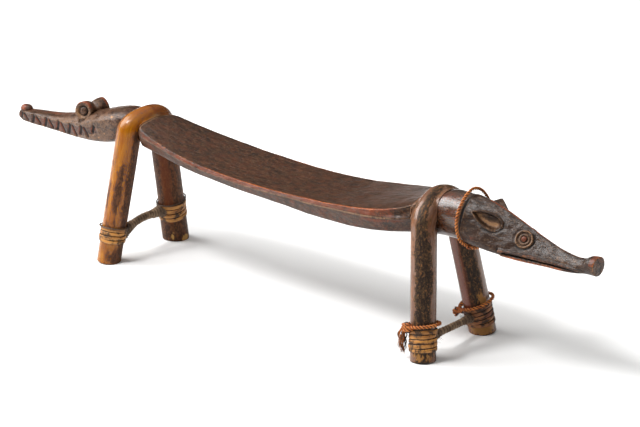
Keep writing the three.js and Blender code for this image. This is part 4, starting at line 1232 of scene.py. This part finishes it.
# %% The bamboo's finish, and both hoops
def hoop_piece(which, facets, seed, finish, slot):
    hoop = HOOPS[which]
    points, grain, angle, middles = culm_skin(hoop, 56, facets, seed)
    points, grain, extra = hollow_ends(points, grain, hoop)
    bm = bmesh.new()
    skin(bm, points, grain, hoop_marks(which, points, angle, middles, extra))
    piece(f"{which}_culm", bm, slot, finish, f"{which}_bamboo_hoop", sharp=50)


def bamboo(name, low, high, warm, red, crust, crust_light, chip):
    f = Finish(name)
    stain, chips, dusty, ruddy = f.marks()
    fibres = f.noise(f.along((1, 1, 0.05)), 1300, roughness=0.6)
    streaks = f.noise(f.along((1, 1, 0.09)), 260, roughness=0.6)
    scratch = f.noise(f.along((1, 1, 0.03)), 620, detail=3, roughness=0.6)
    ragged = f.noise(f.along((1, 1, 0.45)), 330, detail=6, roughness=0.7)
    fine = f.noise(f.along((1, 1, 0.7)), 620, roughness=0.75)
    islands = f.noise(f.along((1, 1, 0.35)), 95, detail=5, roughness=0.6)
    cloud = f.noise(f.along(), 35, detail=3)

    edge = stain + (ragged - 0.5) * 1.7 + (islands - 0.5) * 1.3 + (fine - 0.5) * 1.1
    crusted = f.band(edge, 0.5, 0.58)
    rim = f.band(edge, 0.38, 0.52) * (1 - crusted)
    dirt = f.coats(
        f.mix(f.band(ragged * 0.5 + fine * 0.5, 0.46, 0.56), crust, crust_light),
        (f.band(ruddy + (streaks - 0.5) * 1.6, 0.25, 0.6) * 0.6, red),
    )
    colour = f.coats(
        f.mix(f.band(streaks * 0.5 + cloud * 0.5, 0.4, 0.6), low, high),
        (f.band(islands, 0.48, 0.66) * 0.6, warm),
        (f.band(fibres, 0.5, 0.7) * 0.45, warm),
        (f.band(ruddy + (streaks - 0.5) * 0.9, 0.3, 0.8) * 0.9, red),
        (f.band(scratch + (fine - 0.5) * 0.5, 0.58, 0.66) * 0.75, crust_light),
        (rim * 0.5, warm),
        (crusted * 0.94, dirt),
        (f.band(fine * 0.7 + ragged * 0.3, 0.55, 0.62) * crusted * 0.75, warm),
        (f.band(chips + (ragged - 0.5) * 1.6, 0.46, 0.6) * 0.85, chip),
        (f.band(dusty + (ragged - 0.5) * 0.7, 0.3, 0.8) * 0.75, "8f8268"),
    )
    rough = 0.2 + crusted * 0.28 + dusty * 0.25 + ragged * 0.12
    form = f.bump(edge, 0.0006, strength=0.5)
    form = f.bump(fibres * 0.5 + streaks * 0.4 - crusted * fine * 0.8, 0.0003, under=form, strength=0.7)
    return f.done(
        Base_Color=colour, Roughness=rough.clamped(), Normal=form, Specular_IOR_Level=0.2,
        Coat_Weight=0.42 * (1 - crusted), Coat_Roughness=0.14,
    )


golden = bamboo(
    "golden_bamboo_skin", low="8a4c00", high="a86a00", warm="743a00", red="6c3000",
    crust="2f1a10", crust_light="5c3a25", chip="c29350",
)
brown = bamboo(
    "brown_bamboo_skin", low="644535", high="7d5f4e", warm="8a5630", red="6e3520",
    crust="19100a", crust_light="46341f", chip="a0703a",
)
hoop_piece("left", 0.12, 0.0, golden, "golden_bamboo")
hoop_piece("right", 0.2, 5.0, brown, "brown_bamboo")

# %% [markdown]
# ## Split-cane lashings
# Each foot is bound with a strip of split cane: a flat strip with a rounded
# outer face, wound so that each turn lies beside the last. The strip is a skin
# round a helix. Its first and last half turns lie level and pass over or under
# their neighbour, as a tucked end does. Small waves in height and distance keep
# the turns from looking machine-made.

# %% The strips and where they are wound
LASHINGS = {
    "left_near": {"hoop": "left", "side": -1, "from": 19, "turns": 4, "pitch": 3.9},
    "left_far": {"hoop": "left", "side": 1, "from": 23.5, "turns": 4, "pitch": 4.5},
    "right_near": {"hoop": "right", "side": -1, "from": 8, "turns": 5, "pitch": 4.2},
    "right_far": {"hoop": "right", "side": 1, "from": 8, "turns": 5, "pitch": 3.9, "fan": (-0.14, 0.16)},
}
CANE = 1.25
# The strip's section: places across its width and in its thickness, as shares
STRIP = [
    (-0.5, 0.08), (-0.47, 0.5), (-0.38, 0.82), (-0.2, 0.97), (0, 1.0), (0.2, 0.97), (0.38, 0.82),
    (0.47, 0.5), (0.5, 0.08), (0.3, 0), (-0.3, 0), (-0.5, 0.08),
]


def wound_height(place):
    return place["turns"] * place["pitch"]


def foot_frame(place):
    """Origin, two sideways directions, the leg's direction and the strip's inner radius."""
    hoop, side, start = HOOPS[place["hoop"]], place["side"], place["from"]
    axis = leg_direction(hoop, side)
    u = unit(np.array([1.0, 0, 0]) - axis * axis[0])
    inner = max(leg_radius(hoop, side, start), leg_radius(hoop, side, start + wound_height(place))) + GAP
    return leg_point(hoop, side, start), u, np.cross(axis, u), axis, inner


def cane_strip(place, start_turn, seed):
    """Rings, grain and marks of a strip wound round a foot."""
    origin, u, v, axis, inner = foot_frame(place)
    turns, pitch, height = place["turns"], place["pitch"], wound_height(place)
    a = np.linspace(0, 2 * np.pi * turns, 64 * turns)
    climb = np.clip((a - np.pi) / (2 * np.pi * turns - 2 * np.pi), 0, 1)
    level = pitch / 2 + (height - pitch) * climb
    wave = np.array([noise.noise(Vector((s * 0.55, seed, 0))) for s in a])
    widening = np.array([noise.noise(Vector((s * 0.8, seed, 9))) for s in a])
    tuck = eased(a, 0, 0.5) * (1 - eased(a, a[-1] - 0.5, a[-1]))
    over = 0.45 * within(a, 2 * np.pi - 0.2, 3 * np.pi, 0.5) + 0.4 * within(a, a[-1] - np.pi, a[-1], 0.5)
    width = pitch * (0.95 + 0.06 * widening)
    low, high = place.get("fan", (0, 0))
    points, grain = [], []
    for k, angle in enumerate(a):
        turn = angle + start_turn
        out = math.cos(turn) * u + math.sin(turn) * v
        lean = (low + (high - low) * level[k] / height) * inner * math.cos(turn - 0.7)
        middle = level[k] + lean + 0.28 * wave[k]
        stand = [inner - 0.25 + (h * (CANE - 0.15) + over[k]) * (0.25 + 0.75 * tuck[k]) for _, h in STRIP]
        points.append([origin + out * r + axis * (middle + w * width[k]) for r, (w, _) in zip(stand, STRIP)])
        grain.append([(w * width[k], h, angle * inner) for w, h in STRIP])
    return points, grain, [[(h, abs(w) > 0.42, 0) for w, h in STRIP]] * len(a)


print("the widest strip is", max(place["pitch"] for place in LASHINGS.values()), "mm wide")

# %% [markdown]
# Two more helpers follow, for strands: one goes round a leg just above its strip,
# as the loose turns and the cords do. The other grows short hairs from a surface,
# because old fibre always sheds some.

# %% Threads, loose turns and hairs
def thread(bm, path, radius, around=6, mark=(0, 0, 0)):
    """A thin round strand along a path, added to a bmesh."""
    rings, grain = tube(path, radius, around)
    skin(bm, rings, grain, np.zeros(rings.shape) + mark)


def leg_turn(place, height, tilt, highest_at, stand_off, count, start=0.0, sag=0.0):
    """Points of a strand's turn round a leg at a height above the lashing's foot."""
    origin, u, v, axis, inner = foot_frame(place)
    a = start + circle(count - 1)
    lift = height + tilt * np.cos(a - highest_at) - sag * np.cos(a - start - np.pi)
    out = np.cos(a)[:, None] * u + np.sin(a)[:, None] * v
    return origin + (inner + CANE + stand_off) * out + lift[:, None] * axis


def hairs(bm, roots, directions, length, radius, droop=0.25, joints=6):
    """Loose fibres: each is a thin strand that wanders a little and droops."""
    curl = 0.35
    for root, direction in zip(roots, directions):
        heading = unit(np.array(direction, float))
        path = [np.array(root, float)]
        size = length * random.uniform(0.5, 1.2)
        for _ in range(joints):
            stray = np.array([random.gauss(0, curl), random.gauss(0, curl), random.gauss(0, curl) - droop])
            heading = unit(heading + stray / joints ** 0.5)
            path.append(path[-1] + heading * size / joints)
        thread(bm, np.array(path), np.linspace(radius, radius * 0.3, joints + 1), around=3)


first_turn = leg_turn(LASHINGS["left_near"], 0, 0, 0, 0, count=60)
print("a strand needs", round(float(run_along(first_turn)[-1])), "mm for one turn of the left near foot")

# %% [markdown]
# ## Cane finish
# Cane keeps its shiny skin on the outer face and shows pale fibres. Here it is
# tan to gold, darker along every edge and on the underside of the strip, with
# black remains of resin or soot in patches. The strip's own grain runs along its
# length, so the finish reads that instead of a fixed direction in space.

# %% The cane finishes
def cane(name, light, warm, dirt, dirt_amount):
    f = Finish(name)
    height, edge, _, _ = f.marks()
    fibres = f.noise(f.along((1, 1, 0.06)), 1500)
    tone = f.noise(f.along((1, 1, 0.25)), 160, roughness=0.6)
    grime = f.noise(f.place(), 130, detail=6, roughness=0.7)
    dirty = f.band(grime * 0.8 + fibres * 0.2 + edge * 0.16 + dirt_amount, 0.5, 0.6)
    colour = f.coats(
        f.mix(f.band(tone, 0.35, 0.68), light, warm),
        (f.band(fibres, 0.45, 0.7) * 0.45, warm),
        (dirty * 0.9, dirt),
        # Darker towards the strip's edges and on its underside
        (f.band(height, 0.72, 0.2) * 0.85, "1c120c"),
    )
    rough = 0.42 + dirty * 0.25 + tone * 0.1
    form = f.bump(fibres * 0.6 + grime * 0.6, 0.00025, strength=0.7)
    return f.done(Base_Color=colour, Roughness=rough.clamped(), Normal=form)


split_cane = cane("split_cane", light="bf8238", warm="8e581c", dirt="1e140d", dirt_amount=0.02)
dark_cane = cane("dark_cane", light="9a6232", warm="6e391c", dirt="1f130c", dirt_amount=0.04)
for seed, (name, place) in enumerate(LASHINGS.items()):
    bm = bmesh.new()
    skin(bm, *cane_strip(place, start_turn=2.4, seed=seed * 3.1))
    top = wound_height(place)
    if name == "left_near":
        thread(bm, leg_turn(place, top + 0.2, 1.2, 2.2, 0.1, count=60, sag=1.3)[:-1], 0.62)
        thread(bm, leg_turn(place, top - 0.4, 1.6, 0.6, 0.75, count=60, start=0.8, sag=-1.0)[:-1], 0.62)
    if name == "left_far":
        thread(bm, leg_turn(place, top + 0.3, 1.6, 0.2, 0.0, count=60)[:-1], 0.6)
    slot, finish = ("dark_cane", dark_cane) if name == "right_far" else ("split_cane", split_cane)
    piece(f"{name}_foot_strip", bm, slot, finish, f"{name}_foot_lashing", sharp=60)

# %% [markdown]
# ## Wrapped ties
# The two feet of a hoop are held together by a tie: a bundle of fibre wound
# tightly with a flat strand. The winding is what one sees, a screw of low ridges
# with a dark line between them. So the tie's skin is a tube whose radius rises
# and falls along a spiral, and each groove is painted dark.

# %% The ties
TIES = {
    "left": {
        "path": [(-190.5, -31, 25), (-190, -22, 28.4), (-190.6, -8, 31.8),
                 (-191.6, 6, 32.6), (-192, 17, 32), (-192, 31, 33)],
        "thick": lambda t: 3.8 + 3.2 * np.maximum(0, 1 - t * 3.4) + 2.6 * np.maximum(0, 1 - (1 - t) * 3),
        "screw": 3.4,
    },
    "right": {
        "path": [(190, -33, 16.2), (190, -22, 18.2), (189, -6, 18), (187, 10, 17), (185.6, 31, 16.6)],
        "thick": lambda t: 3.3 + 1.6 * np.maximum(0, 1 - t * 4) + 1.2 * np.maximum(0, 1 - (1 - t) * 4),
        "screw": 4.4,
    },
}
TIE_STEP, TIE_AROUND = 0.34, 32


def clear_of_legs(points, which):
    """Moves points that lie inside a leg or its lashing out to their surface."""
    flat = points.reshape(-1, 3).copy()
    for place in [p for p in LASHINGS.values() if p["hoop"] == which]:
        origin, u, v, axis, inner = foot_frame(place)
        along_leg, a, b = ((flat - origin) @ way for way in (axis, u, v))
        bound = (along_leg > -0.5) & (along_leg < wound_height(place) + 0.5)
        need = np.where(bound, inner + CANE + 0.3, inner)
        out = np.hypot(a, b)
        push = np.where(out < need, need / np.maximum(out, 0.1), 1)
        flat = origin + along_leg[:, None] * axis + (a * push)[:, None] * u + (b * push)[:, None] * v
    return flat.reshape(points.shape)


def tie_skin(which):
    """Rings, grain and marks of a tie, and the path through its middle."""
    tie = TIES[which]
    path = path_through(tie["path"], TIE_STEP)
    t = np.linspace(0, 1, len(path))
    run = t * TIE_STEP * len(path)
    angle = circle(TIE_AROUND)
    phase = (run[:, None] / tie["screw"] * 2 * np.pi + angle[None, :]) % (2 * np.pi)
    ridge = np.abs(np.sin(phase / 2)) ** 0.55
    lumps = np.array([[noise.noise(Vector((math.cos(a), math.sin(a), s * 0.3))) for a in angle] for s in run])
    radius = tie["thick"](t)[:, None] * (1 + 0.09 * lumps) - 0.45 + 0.5 * ridge
    rings, grain = tube(path, radius, TIE_AROUND)
    marks = np.zeros(rings.shape)
    marks[..., 0] = ridge
    marks[..., 1] = (within(t, -1, 0.17, 0.05) + within(t, 0.8, 2, 0.05))[:, None]
    return clear_of_legs(rings, which), grain, marks, path


def wrapped_tie():
    f = Finish("wrapped_tie_fibre")
    ridge, ends, _, _ = f.marks()
    threads = f.noise(f.along((0.3, 0.3, 1)), 1700, detail=3)
    cloud = f.noise(f.place(), 140, detail=5, roughness=0.65)
    fine = f.noise(f.place(), 700, roughness=0.7)
    colour = f.coats(
        f.mix(f.band(cloud, 0.36, 0.64), "5a4531", "91775c"),
        (f.band(fine, 0.5, 0.68) * 0.6, "9a8064"),
        (ends * f.band(cloud * 0.5 + fine * 0.5, 0.4, 0.6) * 0.75, "33211a"),
        (f.band(fine * 0.6 + cloud * 0.4, 0.58, 0.7) * 0.5, "7c4426"),
        (f.band(ridge, 0.72, 0.2) * 0.9, "190f0a"),
    )
    return f.done(Base_Color=colour, Roughness=0.78, Normal=f.bump(threads + fine, 0.0003, strength=0.9))


tie_finish = wrapped_tie()
for which in TIES:
    bm = bmesh.new()
    rings, grain, marks, path = tie_skin(which)
    skin(bm, rings, grain, marks)
    count = len(path)
    picks = [
        random.choice([random.randint(8, count // 5), random.randint(4 * count // 5, count - 8)])
        for _ in range(40)
    ]
    roots = [rings[i, random.randint(0, TIE_AROUND - 1)] for i in picks]
    outward = [root - path[i] + np.array([0, 0, 1.5]) for i, root in zip(picks, roots)]
    hairs(bm, roots, outward, 4.2, 0.17, droop=0.1)
    piece(f"{which}_wrapped_tie", bm, "wrapped_tie", tie_finish, f"{which}_cross_tie")

# %% [markdown]
# ## Twisted cords
# The cords are two plies of reddish fibre twisted together. Two thin tubes that
# circle each other along the cord's path give the real shape, with the deep
# groove between the plies, where a pattern on one round tube would look printed.
# A knot is a short coil of the same cord round a small core. The cords are held
# all round by what they are tied to, so none hangs free.

# %% Making a two-ply cord and its knots, and the neck cord
CORD = 1.5  # half the cord's thickness
TWIST = 6.2  # length of one turn of a ply round the other


def two_ply(bm, path, radius=CORD, ring=False):
    """Two plies twisted round a path, with the groove between them marked for painted shade."""
    across, up = frames_along(path, ring)
    run = run_along(path)
    rounds = max(1, round(run[-1] / TWIST)) if ring else run[-1] / TWIST
    for ply in (0, 1):
        phase = 2 * np.pi * (run / run[-1] * rounds + ply / 2)
        offset = np.cos(phase)[:, None] * across + np.sin(phase)[:, None] * up
        rings, grain = tube(path + offset * radius * 0.5, radius * 0.56, 10, ring)
        marks = np.zeros(rings.shape)
        reach = ((rings - path[:, None]) * offset[:, None]).sum(axis=-1)
        marks[..., 0] = eased(reach, 0.1 * radius, 0.9 * radius)
        skin(bm, rings, grain, marks, ring)


def knot(bm, centre, size, rounds, tilt=0.0):
    """A coil of cord round a small core."""
    a = np.linspace(0, 2 * np.pi * rounds, int(34 * rounds))
    rise = np.linspace(-1, 1, len(a))
    belly = np.sqrt(np.clip(1 - 0.55 * rise ** 2, 0, 1))
    lift = (size[2] - CORD) * rise + tilt * np.cos(a)
    coil = np.column_stack([size[0] * belly * np.cos(a), size[1] * belly * np.sin(a), lift])
    two_ply(bm, np.array(centre) + coil, radius=CORD * 0.98)
    profile = [(math.sin(t), -math.cos(t)) for t in np.linspace(0.1, np.pi - 0.1, 9)]
    skin(bm, turned(profile, 14) * size + centre)


def fibre_cord():
    f = Finish("reddish_fibre_cord")
    outer, _, _, _ = f.marks()
    threads = f.noise(f.along((1, 1, 0.12)), 2600, detail=3)
    cloud = f.noise(f.place(), 170)
    colour = f.coats(
        f.mix(f.band(cloud, 0.35, 0.65), "96480f", "c8742e"),
        (f.band(threads, 0.5, 0.72) * 0.6, "b97a3e"),
        (f.band(threads, 0.46, 0.3) * 0.5, "4a2412"),
        # Painted shade: each ply darkens towards the groove between the plies
        (f.band(outer, 0.98, 0.42) * 0.97, "120703"),
    )
    return f.done(Base_Color=colour, Roughness=0.72, Normal=f.bump(threads, 0.0003, strength=0.9))


cord_finish = fibre_cord()
NECK_CORD = [
    (211, -1, 154), (210.2, -9.1, 150.4), (210.2, -17.3, 142.9), (210.4, -22.2, 135.5),
    (210.6, -23.8, 127.4), (211, -22.8, 118.5), (212.2, -19.7, 110.5), (214, -14.2, 105.3),
    (216.6, -6.1, 101.4), (218, 3, 100.8), (216, 13.2, 103.5), (213.6, 20.3, 110.3),
    (212.2, 23.8, 118.9), (211.6, 24, 128), (211.2, 21.6, 136.6), (211, 16.3, 144.5), (211, 8.5, 151.2),
]
bm = bmesh.new()
neck_path = path_through(NECK_CORD, 0.5, ring=True)
two_ply(bm, neck_path, ring=True)
picks = [random.randint(0, len(neck_path) - 1) for _ in range(60)]
hairs(bm, neck_path[picks], [[random.gauss(0, 1) for _ in range(3)] for _ in picks], 2.6, 0.08, joints=4)
knot(bm, (215.2, -11.2, 103.4), (1.5, 1.3, 2.3), 1.6)
piece("twisted_neck_cord", bm, "fibre_cord", cord_finish, "neck_cord")

# %% [markdown]
# ## Foot cords, knots and the frayed tassel
# Above each right lashing a cord makes one turn and ends in a knot. At the near
# foot its plies come apart below the knot in a tassel. Cord that has come
# untwisted stays wavy, so the tassel is a dozen crimped locks. All leave one
# path and spread from it, and each is a few single fibres of about its own tone
# that stray and stop at different lengths.

# %% The foot cords
def tassel(bm, spine, locks, in_lock, spread_at, thick):
    """Crimped locks of fibre that spread from one path and end raggedly."""
    path = path_through(spine, 0.7)
    across, up = frames_along(path)
    t = np.linspace(0, 1, len(path))
    width = np.interp(t, *zip(*spread_at))
    for lock in range(locks):
        turn, reach = 4 * np.pi * (lock + random.uniform(-0.3, 0.3)) / locks, 0.35 + 0.65 * ((lock % 3) / 2)
        phase, pace, length = random.uniform(0, 6), random.uniform(11, 17), random.uniform(0.72, 1.0)
        crimp = np.minimum(t * 4, 1) * random.uniform(0.5, 1.0)
        side = reach * width * math.cos(turn) + crimp * np.sin(phase + t * pace)
        rise = reach * width * math.sin(turn) + crimp * np.cos(phase * 1.7 + t * pace * 0.9)
        shade = random.uniform(0.25, 1)
        for _ in range(in_lock):
            offset, stray = random.gauss(0, 0.33), (random.gauss(0, 0.9), random.gauss(0, 0.9))
            stop = max(5, int(len(path) * min(1, length * random.uniform(0.78, 1.06))))
            fibre = path + across * (side + offset + stray[0] * t ** 2)[:, None]
            fibre = fibre + up * (rise + random.gauss(0, 0.33) + stray[1] * t ** 2)[:, None]
            mark = min(1, max(0.1, shade + random.uniform(-0.25, 0.25)))
            thread(bm, fibre[:stop], np.linspace(thick, thick * 0.4, stop), around=4, mark=(mark, 0, 0))


def cord_round(bm, place, lift, tilt):
    """One closed turn of cord round a leg, just above its lashing."""
    path = leg_turn(place, wound_height(place) + lift, tilt, 0.7, CORD + 0.15, count=150)
    path[-1] = path[0]
    two_ply(bm, path, ring=True)


bm = bmesh.new()
cord_round(bm, LASHINGS["right_near"], 3.2, 1.2)
knot(bm, (180.4, -53.9, 30.8), (4.9, 2.7, 5.4), 3.0, tilt=0.8)
TASSEL = [
    (178.6, -54.0, 31.5), (176.6, -53.7, 28.6), (175.0, -53.5, 24), (174.2, -53.2, 16.5), (175.2, -53.0, 3),
]
tassel(
    bm, TASSEL, locks=12, in_lock=8, spread_at=[(0, 1.2), (0.25, 2.9), (0.6, 2.8), (1, 1.6)], thick=0.3,
)
piece("right_near_cord_and_tassel", bm, "fibre_cord", cord_finish, "right_near_foot_cord")

bm = bmesh.new()
cord_round(bm, LASHINGS["right_far"], 1.9, 2.2)
knot(bm, (169.6, 29.4, 19.4), (2.4, 2.2, 4.2), 2.5, tilt=0.5)
two_ply(bm, path_through([(170.4, 29.6, 22), (173, 30, 24.6), (175.2, 31, 27), (176.4, 32, 27)], 0.4))
two_ply(bm, path_through([(170.6, 28.8, 20.6), (175.6, 27, 21.2), (179.8, 25.2, 22)], 0.4))
FRAYED_END = [(169.6, 29.4, 18), (169.2, 29, 15.6), (169.4, 28.8, 13)]
tassel(bm, FRAYED_END, locks=5, in_lock=5, spread_at=[(0, 1.0), (1, 1.6)], thick=0.22)
piece("right_far_cord", bm, "fibre_cord", cord_finish, "right_far_foot_cord")
